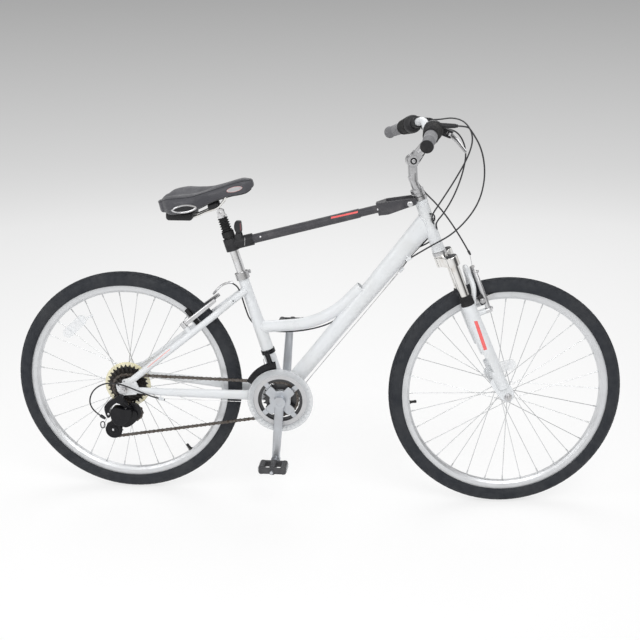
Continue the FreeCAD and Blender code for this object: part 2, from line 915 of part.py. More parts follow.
def tyre_section():
    bead = rim_width / 2 - rim_flange - seat_clearance * 4
    bead_foot = rim_floor_radius + rim_flange * 2
    shoulder = tyre_width / 2 * tyre_shoulder_share
    side = tyre_width / 2
    height = wheel_radius - rim_edge_radius
    wide = rim_edge_radius + height * tyre_wide_share
    edge = rim_edge_radius + height * tyre_edge_share

    def point(radius, y):
        return V(radius, 0, y)

    def half(sign):
        outer_foot = point(rim_edge_radius + seat_clearance, bead * sign)
        outer_side = arc_edge(outer_foot, point(wide, side * sign), point(edge, shoulder * sign))
        inner_foot = point(rim_edge_radius + seat_clearance, (bead - tyre_wall) * sign)
        inner_edge = point(edge - tread_thickness, (shoulder - tyre_wall) * sign)
        inner_side = arc_edge(inner_foot, point(wide, (side - tyre_wall) * sign), inner_edge)
        foot = [
            Part.makeLine(outer_foot, point(bead_foot, bead * sign)),
            Part.makeLine(point(bead_foot, bead * sign), point(bead_foot, (bead - tyre_wall) * sign)),
            Part.makeLine(point(bead_foot, (bead - tyre_wall) * sign), inner_foot),
        ]
        return [outer_side, inner_side] + foot

    crown = arc_edge(point(edge, -shoulder), point(wheel_radius, 0), point(edge, shoulder))
    inner = edge - tread_thickness
    ceiling = arc_edge(
        point(inner, -shoulder + tyre_wall), point(wheel_radius - tread_thickness, 0),
        point(inner, shoulder - tyre_wall)
    )
    return Part.Face(Part.Wire(Part.__sortEdges__(half(1) + half(-1) + [crown, ceiling])))


def tyre(valve_angle):
    casing = along(tyre_section().revolve(ORIGIN, AXIS_Z, 360), ORIGIN, AXIS_Y)
    for share in tread_groove_shares:
        y = tyre_width / 2 * share
        drop = (wheel_radius - rim_edge_radius) * (1 - tyre_edge_share) * (share / tyre_shoulder_share) ** 2
        floor = wheel_radius - drop - tread_groove_depth
        above = wheel_radius + cut_overrun
        near, far = y - tread_groove_width / 2, y + tread_groove_width / 2
        profile = [(floor, near), (above, near), (above, far), (floor, far)]
        casing = casing.cut(lathe(profile, ORIGIN, AXIS_Y))
    top = rim_inner_radius - seat_clearance
    valve = rod(
        wheel_point(top, valve_angle, 0), wheel_point(top - valve_length, valve_angle, 0), valve_radius
    )
    return Part.makeCompound([casing, valve])


def rim():
    half = rim_width / 2
    well = half - rim_flange
    shelf = rim_floor_radius + rim_flange * rim_shelf_share
    waist = rim_inner_radius + (rim_floor_radius - rim_inner_radius) * rim_waist_share
    side = [
        (rim_inner_radius, rim_inner_width / 2), (waist, half),
        (rim_edge_radius, half), (rim_edge_radius, well),
        (shelf, well), (rim_floor_radius, rim_inner_width / 2),
    ]
    return lathe(side + [(radius, -y) for radius, y in reversed(side)], ORIGIN, AXIS_Y)


def spoke(hub_point, rim_point):
    run = (rim_point - hub_point).Length
    profile = [
        (0, 0), (spoke_radius, 0), (spoke_radius, run - nipple_length), (nipple_radius, run - nipple_length),
        (nipple_radius, run), (0, run),
    ]
    return lathe(profile, hub_point, rim_point - hub_point)


def spoke_lines(flange_radius, right_y, left_y, valve_angle):
    """Three-cross lacing: spokes leave each flange by turns from its outer and its inner face."""
    step = 360.0 / spoke_count
    ride = flange_thickness / 2 + spoke_radius * spoke_ride_share
    lines = []
    for index in range(spoke_count):
        rim_angle = valve_angle + step * (index + 0.5)
        side = SIDES[index % 2]
        flange_y = (right_y if side == RIGHT else left_y) * side
        lean = 1 if (index // 2) % 2 else -1
        hub_angle = rim_angle + lean * spoke_cross * step * 2
        hub_point = wheel_point(flange_radius - flange_edge, hub_angle, flange_y + ride * lean * side)
        seat = rim_inner_radius - seat_clearance
        lines.append((hub_point, wheel_point(seat, rim_angle, rim_inner_width / 6 * side)))
    return lines


def spoke_side_y(radius, flange_radius, flange_y):
    """How far out the outermost spokes lie at a radius of the wheel."""
    start = flange_radius - flange_edge
    ride = flange_thickness / 2 + spoke_radius * spoke_ride_share
    share = (radius - start) / (rim_inner_radius - start)
    return (flange_y + ride) * (1 - share) + rim_inner_width / 6 * share + spoke_radius


def foot_on_line(line, place):
    """Nearest point to a place between the ends of a line."""
    start, end = line
    way = (end - start).normalize()
    return start + way * min(max((place - start).dot(way), 0), (end - start).Length)


def reflector(lines, radius, degrees, side_y):
    """Wheel reflector: a bar with round ends across the spokes, with a clip at each end on one of them."""
    half = reflector_length / 2 - reflector_height / 2
    middle = wheel_point(radius, degrees, -side_y)
    along_way = direction(degrees + 90)
    depth = AXIS_Y * -reflector_thickness
    ends = [middle + along_way * half, middle - along_way * half]
    offset = direction(degrees) * (reflector_height / 2)
    pieces = [slab([ends[0] - offset, ends[0] + offset, ends[1] + offset, ends[1] - offset], depth)]
    near_lines = [line for line in lines if line[1].y < 0]
    for end in ends:
        pieces.append(rod(end, end + depth, reflector_height / 2))
        grip_place = min(
            (foot_on_line(line, end) for line in near_lines), key=lambda foot: (foot - end).Length
        )
        way = (grip_place - end).normalize()
        pieces.append(rod(end + depth / 2, grip_place + way * reflector_clip_radius, reflector_clip_radius))
    body = fused(pieces)
    for line in lines:
        body = body.cut(rod(line[0], line[1], spoke_radius + seat_clearance))
    return largest(body)


def wheel_spokes(flange_radius, right_y, left_y, valve_angle, reflector_radius, reflector_angle):
    lines = spoke_lines(flange_radius, right_y, left_y, valve_angle)
    out = spoke_side_y(reflector_radius - reflector_height / 2, flange_radius, right_y) + running_gap
    pieces = [spoke(*line) for line in lines]
    return Part.makeCompound(pieces + [reflector(lines, reflector_radius, reflector_angle, out)])


def front_spokes():
    return wheel_spokes(
        front_flange_radius, front_flange_y, front_flange_y,
        front_valve_angle, front_reflector_radius, front_reflector_angle
    )


def rear_spokes():
    return wheel_spokes(
        rear_flange_radius, rear_flange_right, rear_flange_left,
        rear_valve_angle, rear_reflector_radius, rear_reflector_angle
    )


def spoke_guard():
    """Clear disc between the largest sprocket and the spokes."""
    profile = [
        (guard_disc_bore, -guard_disc_y), (guard_disc_radius, -guard_disc_y),
        (guard_disc_radius, -guard_disc_y - guard_disc_thickness),
        (guard_disc_bore, -guard_disc_y - guard_disc_thickness),
    ]
    return lathe(profile, ORIGIN, AXIS_Y)


def flange_outline(flange_y, flange_radius, sign):
    half = flange_thickness / 2
    return [
        (hub_shell_radius, flange_y - half * sign), (flange_radius, flange_y - half * sign),
        (flange_radius, flange_y + half * sign), (hub_shell_radius, flange_y + half * sign),
    ]


def hub(flange_radius, right_y, left_y, right_end, left_end, right_radius):
    bore = axle_radius + shaft_clearance
    half = flange_thickness / 2
    profile = [(bore, -right_end), (right_radius, -right_end), (right_radius, -right_y - half)]
    profile += [
        (flange_radius, -right_y - half), (flange_radius, -right_y + half),
        (hub_shell_radius, -right_y + half)
    ]
    profile += flange_outline(left_y, flange_radius, 1)
    profile += [(hub_shell_radius, left_end), (bore, left_end)]
    return lathe(profile, ORIGIN, AXIS_Y)


def front_hub_shell():
    return hub(
        front_flange_radius, front_flange_y, front_flange_y, front_hub_end, front_hub_end, hub_shell_radius
    )


def rear_hub_shell():
    left_end = rear_flange_left + front_hub_end - front_flange_y
    return hub(
        rear_flange_radius, rear_flange_right, rear_flange_left, hub_boss_end, left_end, freewheel_boss_radius
    )


def axle_set(spacing, end_thickness, right_end, left_end):
    """Solid axle with its cones and turned-down tips, and a washer and nut outside each fork end."""
    inner = spacing / 2
    outer = inner + end_thickness
    length = outer + axle_stub
    tip = outer + axle_washer_width + axle_nut_width
    profile = [(0, -length), (axle_tip_radius, -length), (axle_tip_radius, -tip), (axle_radius, -tip)]
    profile += [(axle_radius, -inner), (cone_radius, -inner)]
    profile += [(cone_radius, -right_end - running_gap), (axle_radius, -right_end - running_gap)]
    profile += [
        (axle_radius, left_end + running_gap), (cone_radius, left_end + running_gap), (cone_radius, inner)
    ]
    profile += [
        (axle_radius, inner), (axle_radius, tip),
        (axle_tip_radius, tip), (axle_tip_radius, length), (0, length)
    ]
    pieces = [lathe(profile, ORIGIN, AXIS_Y)]
    for side in SIDES:
        washer_end = outer + axle_washer_width
        ring = [
            (axle_radius, outer), (axle_washer_radius, outer),
            (axle_washer_radius, washer_end), (axle_radius, washer_end)
        ]
        pieces.append(lathe(ring, ORIGIN, AXIS_Y * side))
        corners = [wheel_point(axle_nut_radius, 60 * turn, washer_end * side) for turn in range(6)]
        nut = slab(corners, AXIS_Y * (axle_nut_width * side))
        pieces.append(nut.cut(rod(ORIGIN, AXIS_Y * (length * side), axle_radius)))
    return Part.makeCompound(pieces)


def front_axle():
    return axle_set(fork_spacing, fork_end_thickness, front_hub_end, front_hub_end)


def rear_axle():
    left_end = rear_flange_left + front_hub_end - front_flange_y
    return axle_set(dropout_spacing, dropout_thickness, hub_boss_end, left_end)


# Toothed wheels and chain

def pitch_radius(teeth):
    return chain_pitch / 2 / math.sin(math.pi / teeth)


def toothed_plate(teeth, bore, thickness, phase, side_y):
    """Sprocket plate: a roller seat in each gap and a narrow tip on each tooth."""
    pitch = pitch_radius(teeth)
    seat = roller_radius + seat_clearance * 3
    tip = pitch + tooth_tip
    tip_turn = math.degrees(tooth_tip_width / 2 / tip)
    edges = []
    ends = []
    for index in range(teeth):
        angle = phase + 360.0 * index / teeth
        center = wheel_point(pitch, angle, side_y + thickness / 2)
        start, middle, end = (
            center + direction(angle + 180 + turn) * seat for turn in (seat_arc_half, 0, -seat_arc_half)
        )
        tooth = angle + 180.0 / teeth
        tips = [wheel_point(tip, tooth + turn, side_y + thickness / 2) for turn in (-tip_turn, tip_turn)]
        edges.append(arc_edge(start, middle, end))
        ends.append((start, end, tips))
    for index in range(teeth):
        start, end, tips = ends[index]
        following = ends[(index + 1) % teeth][0]
        edges += [
            Part.makeLine(end, tips[0]), Part.makeLine(tips[0], tips[1]), Part.makeLine(tips[1], following)
        ]
    plate = Part.Face(Part.Wire(Part.__sortEdges__(edges))).extrude(AXIS_Y * -thickness)
    hole = rod(V(0, side_y - thickness, 0), V(0, side_y + thickness, 0), bore)
    return plate.cut(hole)


def belt_pieces(circles):
    """Runs and arcs of a loop round circles given as (x, z, radius, sense, y)."""
    runs = []
    count = len(circles)
    for index in range(count):
        ax, az, ar, asense, ay = circles[index]
        bx, bz, br, bsense, by = circles[(index + 1) % count]
        length = math.hypot(bx - ax, bz - az)
        way = math.atan2(bz - az, bx - ax) - math.asin((bsense * br - asense * ar) / length)
        left = (-math.sin(way), math.cos(way))
        start = V(ax - asense * ar * left[0], ay, az - asense * ar * left[1])
        end = V(bx - bsense * br * left[0], by, bz - bsense * br * left[1])
        runs.append((start, end, way))
    pieces = []
    for index in range(count):
        x, z, radius, sense, y = circles[index]
        arrive = runs[index - 1]
        leave = runs[index]
        sweep = ((leave[2] - arrive[2]) * sense) % (2 * math.pi)
        first = math.atan2(arrive[1].z - z, arrive[1].x - x)
        pieces.append(("arc", V(x, y, z), radius, first, sweep * sense, radius * sweep))
        pieces.append(("run", leave[0], leave[1], 0, 0, (leave[1] - leave[0]).Length))
    return pieces


def belt_length(pieces):
    return sum(piece[5] for piece in pieces)


def belt_point(pieces, distance):
    distance %= belt_length(pieces)
    for kind, first, second, start, sweep, length in pieces:
        if distance <= length:
            share = distance / length
            if kind == "run":
                return first + (second - first) * share
            angle = start + sweep * share
            return first + V(math.cos(angle), 0, math.sin(angle)) * second
        distance -= length
    return pieces[0][1]


def roller_places(pieces, count):
    """Steps round the loop by chords of one pitch. Returns the places and how far the last one overshoots."""
    places = [belt_point(pieces, 0)]
    distance = 0
    for _ in range(count):
        low, high = (distance + chain_pitch * share for share in roller_step_shares)
        for _ in range(50):
            middle = (low + high) / 2
            if (belt_point(pieces, middle) - places[-1]).Length < chain_pitch:
                low = middle
            else:
                high = middle
        distance = (low + high) / 2
        places.append(belt_point(pieces, distance))
    return places[:-1], distance - belt_length(pieces)


def drive_circles(cage_angle):
    ring_radius = pitch_radius(ring_teeth[0])
    cog_radius = pitch_radius(sprocket_teeth[chain_sprocket])
    pulley_radius = pitch_radius(pulley_teeth)
    cog_y = -sprocket_first_y + sprocket_spacing * chain_sprocket
    guide = rear_hub + guide_pulley_place
    tension = guide + direction(cage_angle) * cage_length
    return [
        (bottom_bracket.x, bottom_bracket.z, ring_radius, 1, -ring_y[0]),
        (rear_hub.x, rear_hub.z, cog_radius, 1, cog_y),
        (guide.x, guide.z, pulley_radius, -1, cog_y), (tension.x, tension.z, pulley_radius, 1, cog_y),
    ]


def solve_drive():
    """Turns the cage until an even count of links closes the chain, as its spring does."""
    loop = belt_pieces(drive_circles(cage_rest_angle))
    count = 2 * round(belt_length(loop) / chain_pitch / 2)
    low = cage_rest_angle - cage_swing
    high = cage_rest_angle + cage_swing
    rising = roller_places(belt_pieces(drive_circles(high)), count)[1] > 0
    for _ in range(26):
        middle = (low + high) / 2
        over = roller_places(belt_pieces(drive_circles(middle)), count)[1] > 0
        if over == rising:
            high = middle
        else:
            low = middle
    circles = drive_circles((low + high) / 2)
    return circles, roller_places(belt_pieces(circles), count)[0]


def roller_phase(rollers, circle):
    """Angle of the roller that sits deepest on a toothed wheel."""
    x, z, radius, sense, y = circle
    best = min(
        rollers, key=lambda place: abs(math.hypot(place.x - x, place.z - z) - radius) + abs(place.y - y)
    )
    return math.degrees(math.atan2(best.z - z, best.x - x))


def link_plate(half_start, thickness):
    """Waisted plate between two pins, lying along +X with its face towards Y."""
    reach = chain_pitch
    turn = math.radians(link_waist_angle)
    height = link_plate_radius * math.sin(turn)
    inset = link_plate_radius * math.cos(turn)

    def point(x, z):
        return V(x, half_start, z)

    edges = [
        arc_edge(point(inset, height), point(-link_plate_radius, 0), point(inset, -height)),
        arc_edge(point(inset, -height), point(reach / 2, -link_plate_waist), point(reach - inset, -height)),
        arc_edge(
            point(reach - inset, -height), point(reach + link_plate_radius, 0), point(reach - inset, height)
        ),
        arc_edge(point(reach - inset, height), point(reach / 2, link_plate_waist), point(inset, height)),
    ]
    return Part.Face(Part.Wire(edges)).extrude(AXIS_Y * thickness)


def link(inner):
    half = chain_inner_width / 2
    if not inner:
        half += link_plate_thickness + chain_plate_gap
    plates = [link_plate(half, link_plate_thickness), link_plate(-half, -link_plate_thickness)]
    pins = (V(0, 0, 0), V(chain_pitch, 0, 0))
    if inner:
        rollers = [rod(pin - AXIS_Y * half, pin + AXIS_Y * half, roller_radius) for pin in pins]
        body = fused(plates + rollers)
        for pin in pins:
            body = body.cut(rod(pin - AXIS_Y * chain_pitch, pin + AXIS_Y * chain_pitch, roller_bore))
        return body
    reach = AXIS_Y * (half + link_plate_thickness + pin_overhang)
    return fused(plates + [rod(pin - reach, pin + reach, pin_radius) for pin in pins])


def chain(rollers):
    models = (link(True), link(False))
    pieces = []
    for index, start in enumerate(rollers):
        end = rollers[(index + 1) % len(rollers)]
        way = (end - start).normalize()
        up = way.cross(AXIS_Y).normalize()
        turn = FreeCAD.Rotation(way, up.cross(way), up, "XZY")
        pieces.append(placed(models[index % 2], FreeCAD.Placement(start, turn)))
    return Part.makeCompound(pieces)


def freewheel(phase):
    pieces = []
    thickness = tooth_thickness
    for index, teeth in enumerate(sprocket_teeth):
        side_y = -sprocket_first_y + sprocket_spacing * index
        pieces.append(toothed_plate(teeth, freewheel_body_radius, thickness, phase, side_y))
    inner = sprocket_first_y - sprocket_spacing * (len(sprocket_teeth) - 1) - thickness
    bore = freewheel_boss_radius + running_gap
    profile = [
        (bore, -inner), (freewheel_body_radius, -inner), (freewheel_body_radius, -freewheel_end + thickness),
        (freewheel_body_radius - thickness, -freewheel_end), (bore, -freewheel_end),
    ]
    pieces.append(lathe(profile, ORIGIN, AXIS_Y))
    return Part.makeCompound(pieces)


def chainrings(phase):
    rings = []
    for teeth, side_y, share in zip(ring_teeth, ring_y, ring_bore_shares):
        rings.append(toothed_plate(teeth, pitch_radius(teeth) * share, tooth_thickness, phase, -side_y))
    return placed(Part.makeCompound(rings), FreeCAD.Placement(bottom_bracket, FreeCAD.Rotation()))


def chain_guard():
    inner = ring_y[-1] + tooth_thickness / 2 + running_gap
    outer = inner + chain_guard_thickness
    bore = chain_guard_radius - chain_guard_width
    bevel = chain_guard_thickness / 2
    profile = [
        (bore, -inner), (chain_guard_radius, -inner), (chain_guard_radius, -outer + bevel),
        (chain_guard_radius - bevel, -outer), (bore, -outer),
    ]
    return lathe(profile, bottom_bracket, AXIS_Y)


def pulley(circle, phase):
    x, z, radius, sense, y = circle
    wheel = toothed_plate(pulley_teeth, pulley_bore + shaft_clearance, tooth_thickness, phase, 0)
    half = AXIS_Y * (pulley_hub_width / 2)
    boss = rod(-half, half, pulley_hub_radius).cut(rod(-half * 2, half * 2, pulley_bore + shaft_clearance))
    return placed(fused([wheel, boss]), FreeCAD.Placement(V(x, y, z), FreeCAD.Rotation()))


def mech_cage(circles):
    """Two cage plates with the pulley bolts between them."""
    guide, tension = (V(circle[0], circle[4], circle[1]) for circle in circles[2:])
    way = (tension - guide).normalize()
    across = way.cross(AXIS_Y)
    pieces = []
    for side in SIDES:
        face = AXIS_Y * (cage_half_gap * side)
        depth = AXIS_Y * (cage_plate_thickness * side)
        waist = across * (cage_plate_radius / 2)
        parts = [
            slab(
                [
                    guide + waist + face, guide - waist + face,
                    tension - waist + face, tension + waist + face
                ],
                depth
            )
        ]
        for place in (guide, tension):
            parts.append(rod(place + face, place + face + depth, cage_plate_radius))
        pieces.append(fused(parts))
    reach = AXIS_Y * (cage_half_gap + cage_plate_thickness)
    bolts = [rod(place - reach, place + reach, pulley_bore) for place in (guide, tension)]
    plates = [plate.cut(bolts[0]).cut(bolts[1]) for plate in pieces]
    return Part.makeCompound(plates + bolts)


def mech_body(circles):
    """Hanger bolt and knuckle, the two parallelogram links and the cage's pivot knuckle."""
    hanger = dropout_place(hanger_shares, RIGHT)
    face = hanger - AXIS_Y * dropout_thickness
    outer = face - AXIS_Y * mech_knuckle_width
    guide = V(circles[2][0], circles[2][4], circles[2][1])
    cage_face = guide - AXIS_Y * (cage_half_gap + cage_plate_thickness + running_gap)
    pivot_outer = cage_face - AXIS_Y * mech_pivot_width
    middle = (face + outer) / 2
    pivot_middle = (cage_face + pivot_outer) / 2
    across = (pivot_middle - middle).cross(AXIS_Y).normalize() * (mech_link_spread / 2)
    knuckle = rod(face, outer, mech_knuckle_radius)
    pivot = rod(cage_face, pivot_outer, mech_pivot_radius)
    links = [rod(middle + across * sign, pivot_middle + across * sign, mech_link_radius) for sign in SIDES]
    bolt = rod(face + AXIS_Y * dropout_thickness, face, hanger_bore - seat_clearance)
    return largest(fused([knuckle, pivot, bolt] + links).cut(dropout(RIGHT)))


def front_mech():
    place = seat_point(front_mech_height)
    half = seat_way * (front_mech_band_height / 2)
    bore = seat_tube_foot_radius + seat_clearance
    band = pipe_between(place - half, place + half, bore + front_mech_band_wall, bore)
    plates = []
    for side, low in ((RIGHT, front_mech_outer_radius), (LEFT, front_mech_inner_radius)):
        y = -ring_y[0] + front_mech_half_gap * side
        ends = [front_mech_from_angle, (front_mech_from_angle + front_mech_to_angle) / 2, front_mech_to_angle]
        inner = [bottom_bracket + wheel_point(low, angle, y) for angle in ends]
        outer = [bottom_bracket + wheel_point(front_mech_top_radius, angle, y) for angle in ends]
        wire = Part.Wire([
            arc_edge(*inner), Part.makeLine(inner[2], outer[2]), arc_edge(*reversed(outer)),
            Part.makeLine(outer[0], inner[0]),
        ])
        plates.append(Part.Face(wire).extrude(AXIS_Y * (front_mech_plate * side)))
    span = AXIS_Y * (front_mech_half_gap + front_mech_plate)
    edge = front_mech_top_radius - front_mech_arm_radius
    bridges = []
    for radius, angle in (
        (edge, front_mech_from_angle + front_mech_bridge_inset),
        (front_mech_tail_radius, front_mech_to_angle - front_mech_bridge_inset),
    ):
        middle = bottom_bracket + wheel_point(radius, angle, -ring_y[0])
        bridges.append(rod(middle - span, middle + span, front_mech_bridge_radius))
    cage = fused(plates + bridges)
    arm_end = bottom_bracket + wheel_point(
        edge, front_mech_from_angle + front_mech_arm_turn, -ring_y[0] + front_mech_half_gap
    )
    arm_start = place + AXIS_Y * -(bore + front_mech_band_wall)
    arm = bent_rod(
        [place, arm_start - AXIS_Y * front_mech_arm_radius, arm_end],
        front_mech_arm_radius, front_mech_arm_radius
    )
    body = fused([band, arm]).cut(seat_tube_form(-seat_clearance))
    return Part.makeCompound([largest(body.cut(cage)), cage])


# Cranks and pedals

def crank_end(side):
    """Centre line of the pedal hole of a crank."""
    return bottom_bracket + direction(crank_angle + (0 if side == RIGHT else 180)) * crank_length


def crank_arm(side):
    way = (crank_end(side) - bottom_bracket).normalize()
    out = AXIS_Y * side
    boss = rod(
        bottom_bracket + out * crank_boss_inner, bottom_bracket + out * crank_boss_outer, crank_boss_radius
    )
    end = rod(
        crank_end(side) + out * crank_end_inner, crank_end(side) + out * crank_end_outer, crank_end_radius
    )
    root = bottom_bracket + out * ((crank_boss_inner + crank_boss_outer) / 2)
    tip = crank_end(side) + out * ((crank_end_inner + crank_end_outer) / 2)
    across = way.cross(AXIS_Y)
    sections = [
        oval(root, way, across, crank_root_width / 2, crank_root_thickness / 2),
        oval(tip, way, across, crank_tip_width / 2, crank_tip_thickness / 2),
    ]
    arm = fused([boss, end, Part.makeLoft(sections, True)])
    bolt_face = bottom_bracket + out * crank_boss_outer
    arm = arm.cut(rod(bolt_face - out * crank_bolt_depth, bolt_face + out, crank_bolt_radius))
    hole_end = crank_end(side) + out * crank_end_outer
    return arm.cut(rod(hole_end - out * crank_boss_outer, hole_end + out, pedal_spindle_radius))


def spider():
    arms = []
    for index in range(spider_arms):
        way = direction(crank_angle + spider_turn + 360.0 / spider_arms * index)
        across = way.cross(AXIS_Y) * (spider_arm_width / 2)
        face = bottom_bracket - AXIS_Y * spider_inner
        tip = way * spider_reach
        edge = across * spider_tip_share
        corners = [face + across, face - across, face - edge + tip, face + edge + tip]
        arms.append(slab(corners, AXIS_Y * (spider_inner - spider_outer)))
        post = face + way * spider_post_circle
        post_end = V(post.x, -ring_y[0] - tooth_thickness / 2 - seat_clearance, post.z)
        arms.append(rod(post, post_end, spider_post_radius))
    root = bottom_bracket - AXIS_Y * spider_inner
    arms.append(rod(root, bottom_bracket - AXIS_Y * crank_boss_inner, crank_boss_radius))
    return arms


def crank_arms():
    half = AXIS_Y * (crank_boss_outer - crank_bolt_depth * 2)
    spindle = rod(bottom_bracket - half, bottom_bracket + half, spindle_radius)
    pieces = [spindle]
    right = fused([crank_arm(RIGHT)] + spider())
    for side, arm in ((RIGHT, right), (LEFT, crank_arm(LEFT))):
        out = AXIS_Y * side
        pieces.append(arm.cut(spindle))
        spindle_start = crank_end(side) + out * crank_end_inner
        spindle_end = crank_end(side) + out * (crank_end_outer + pedal_spindle_length)
        pieces.append(rod(spindle_start, spindle_end, pedal_spindle_radius))
        head = bottom_bracket + out * crank_boss_outer
        pieces.append(
            rod(
                head - out * crank_bolt_depth, head - out * (crank_bolt_depth / 3),
                crank_bolt_radius - seat_clearance
            )
        )
    return Part.makeCompound(pieces)


def pedal(side):
    """Platform pedal: a frame round two windows, a barrel on the spindle and a reflector front and back."""
    start = crank_end_outer + pedal_start
    half_length = pedal_length / 2
    half_height = pedal_height / 2
    base = crank_end(side) + AXIS_Y * (start * side)
    out = AXIS_Y * side

    def box(x_low, x_high, y_low, y_high, half):
        corner = base + V(x_low, 0, -half) + out * y_low
        outline = [
            corner, corner + V(x_high - x_low, 0, 0),
            corner + V(x_high - x_low, 0, half * 2), corner + V(0, 0, half * 2)
        ]
        return slab(outline, out * (y_high - y_low))

    body = box(-half_length, half_length, 0, pedal_width, half_height)
    uprights = [edge for edge in body.Edges if abs(edge.tangentAt(edge.FirstParameter).z) > upright_share]
    body = body.makeFillet(pedal_corner, uprights)
    barrel_half = pedal_barrel_radius
    for low, high in ((-half_length + pedal_rib, -barrel_half), (barrel_half, half_length - pedal_rib)):
        body = body.cut(box(low, high, pedal_rib, pedal_width - pedal_rib, pedal_height))
    tip = base + out * (pedal_spindle_length - pedal_start + running_gap)
    body = body.cut(rod(base - out * cut_overrun, tip, pedal_spindle_radius + shaft_clearance))
    reflectors = []
    margin = pedal_width * (1 - pedal_reflector_share) / 2
    height = half_height * pedal_reflector_height_share
    for sign in (1, -1):
        face = half_length * sign
        low, high = sorted((face, face - pedal_reflector_depth * sign))
        lens = box(low, high, margin, pedal_width - margin, height)
        body = body.cut(lens)
        reflectors.append(lens)
    return Part.makeCompound([body] + reflectors)


# Fork, in the steering frame

def fork_crown():
    top = head_tube_base - headset_cup_height - running_gap
    race = top - crown_race_height
    clamps = [V(stanchion_set_forward, stanchion_spread * side, 0) for side in SIDES]
    low = V(0, 0, race - crown_height)
    high = V(0, 0, race)
    pieces = [rod(low, high, crown_hub_radius)]
    for clamp in clamps:
        across = clamp.cross(AXIS_Z).normalize() * (crown_arm_width / 2)
        pieces.append(
            slab([low + across, low - across, low + clamp - across, low + clamp + across], high - low)
        )
        pieces.append(rod(low + clamp, high + clamp, crown_clamp_radius))
    body = fused(pieces)
    edges = [edge for edge in body.Edges if edge.BoundBox.ZMin > race - running_gap]
    body = body.makeFillet(crown_race_height, edges)
    steerer_top = head_top + headset_cup_height + locknut_stack
    race_ring = rod(high, V(0, 0, top), headset_cup_radius - headset_cup_step)
    body = fused([body, race_ring, rod(low, V(0, 0, steerer_top), steerer_radius)])
    body = body.cut(rod(V(0, 0, low.z - cut_overrun), V(0, 0, steerer_top + cut_overrun), steerer_bore))
    for clamp in clamps:
        reach = V(0, 0, cut_overrun)
        body = body.cut(rod(low + clamp - reach, high + clamp + reach, stanchion_radius))
    return body


def stanchions():
    top = head_tube_base - headset_cup_height - running_gap - crown_race_height
    pieces = []
    for side in SIDES:
        foot = V(stanchion_set_forward, stanchion_spread * side, stanchion_foot)
        head = V(stanchion_set_forward, stanchion_spread * side, top)
        tube = rod(foot, head, stanchion_radius)
        pieces.append(
            tube.cut(rod(foot - AXIS_Z * cut_overrun, head - AXIS_Z * stanchion_bore, stanchion_bore))
        )
        pieces.append(rod(head, head + AXIS_Z * stanchion_cap_height, stanchion_cap_radius))
    return Part.makeCompound(pieces)


def stem_quill():
    """Quill with its neck and pivot disc, and the headset's adjusting nut and locknut round the steerer."""
    base = head_top + headset_cup_height + running_gap
    middle = base + locknut_stack * locknut_split_share
    top = base + locknut_stack
    nuts = []
    for low, high in ((base, middle - locknut_groove), (middle, top)):
        rim = locknut_radius - locknut_groove
        profile = [
            (steerer_radius, low), (rim, low), (locknut_radius, low + locknut_groove),
            (locknut_radius, high - locknut_groove), (rim, high), (steerer_radius, high),
        ]
        nuts.append(lathe(profile, ORIGIN, AXIS_Z))
    spacer = [
        (steerer_radius, middle - locknut_groove),
        (rim, middle - locknut_groove), (rim, middle), (steerer_radius, middle)
    ]
    nuts.append(lathe(spacer, ORIGIN, AXIS_Z))
    pivot = V(stem_pivot_forward, 0, stem_pivot_height)
    neck_base = V(0, 0, (top + stem_pivot_height) / 2)
    column = rod(V(0, 0, quill_foot), neck_base, quill_radius)
    neck = rod(V(0, 0, neck_base.z - stem_neck_radius), pivot, stem_neck_radius)
    half = AXIS_Y * stem_disc_half
    disc = rod(pivot - half, pivot + half, stem_disc_radius)
    bolt = rod(pivot - half * 2, pivot + half * 2, stem_bolt_radius + running_gap)
    neck_trim = slab([
        pivot + V(-stem_disc_radius * 2, side * stem_disc_half, z) for side, z in
        ((1, -stem_disc_radius * 2), (1, stem_disc_radius * 2))
    ] + [
        pivot + V(-stem_disc_radius * 2, side * stem_neck_radius * 2, z) for side, z in
        ((1, stem_disc_radius * 2), (1, -stem_disc_radius * 2))
    ], AXIS_X * (stem_disc_radius * 4))
    neck = neck.cut(neck_trim).cut(mirrored(neck_trim))
    return Part.makeCompound([fused([column, neck, disc]).cut(bolt)] + nuts)


def stem_extension():
    pivot = V(stem_pivot_forward, 0, stem_pivot_height)
    clamp = V(bar_forward, 0, bar_height)
    way = (clamp - pivot).normalize()
    across = way.cross(AXIS_Y)
    inner = stem_disc_half + running_gap
    outer = inner + stem_cheek_thickness
    beam_start = pivot + way * (stem_disc_radius + running_gap * 4)
    pieces = []
    for side in SIDES:
        near, far = AXIS_Y * (inner * side), AXIS_Y * (outer * side)
        pieces.append(rod(pivot + near, pivot + far, stem_disc_radius))
        half = across * (stem_beam_depth / 2)
        mid = beam_start + way * stem_cheek_thickness
        pieces.append(
            slab(
                [pivot + near + half, pivot + near - half, mid + near - half, mid + near + half], far - near
            )
        )
    sections = [
        oval(beam_start, way, AXIS_Y, outer, stem_beam_depth / 2),
        oval(clamp, way, AXIS_Y, outer, stem_beam_depth / 2),
    ]
    pieces.append(Part.makeLoft(sections, True))
    half = AXIS_Y * (bar_clamp_width / 2)
    pieces.append(rod(clamp - half, clamp + half, bar_clamp_radius + bar_clamp_wall))
    body = fused(pieces).cut(rod(clamp - half * 2, clamp + half * 2, bar_clamp_radius))
    bolt_reach = AXIS_Y * (outer + stem_bolt_head_width)
    bolt = rod(pivot - bolt_reach, pivot + bolt_reach, stem_bolt_radius)
    body = body.cut(bolt)
    heads = []
    for side in SIDES:
        head = rod(pivot + AXIS_Y * (outer * side), pivot + bolt_reach * side, stem_bolt_head)
        heads.append(head.cut(bolt))
    return Part.makeCompound([body, bolt] + heads)


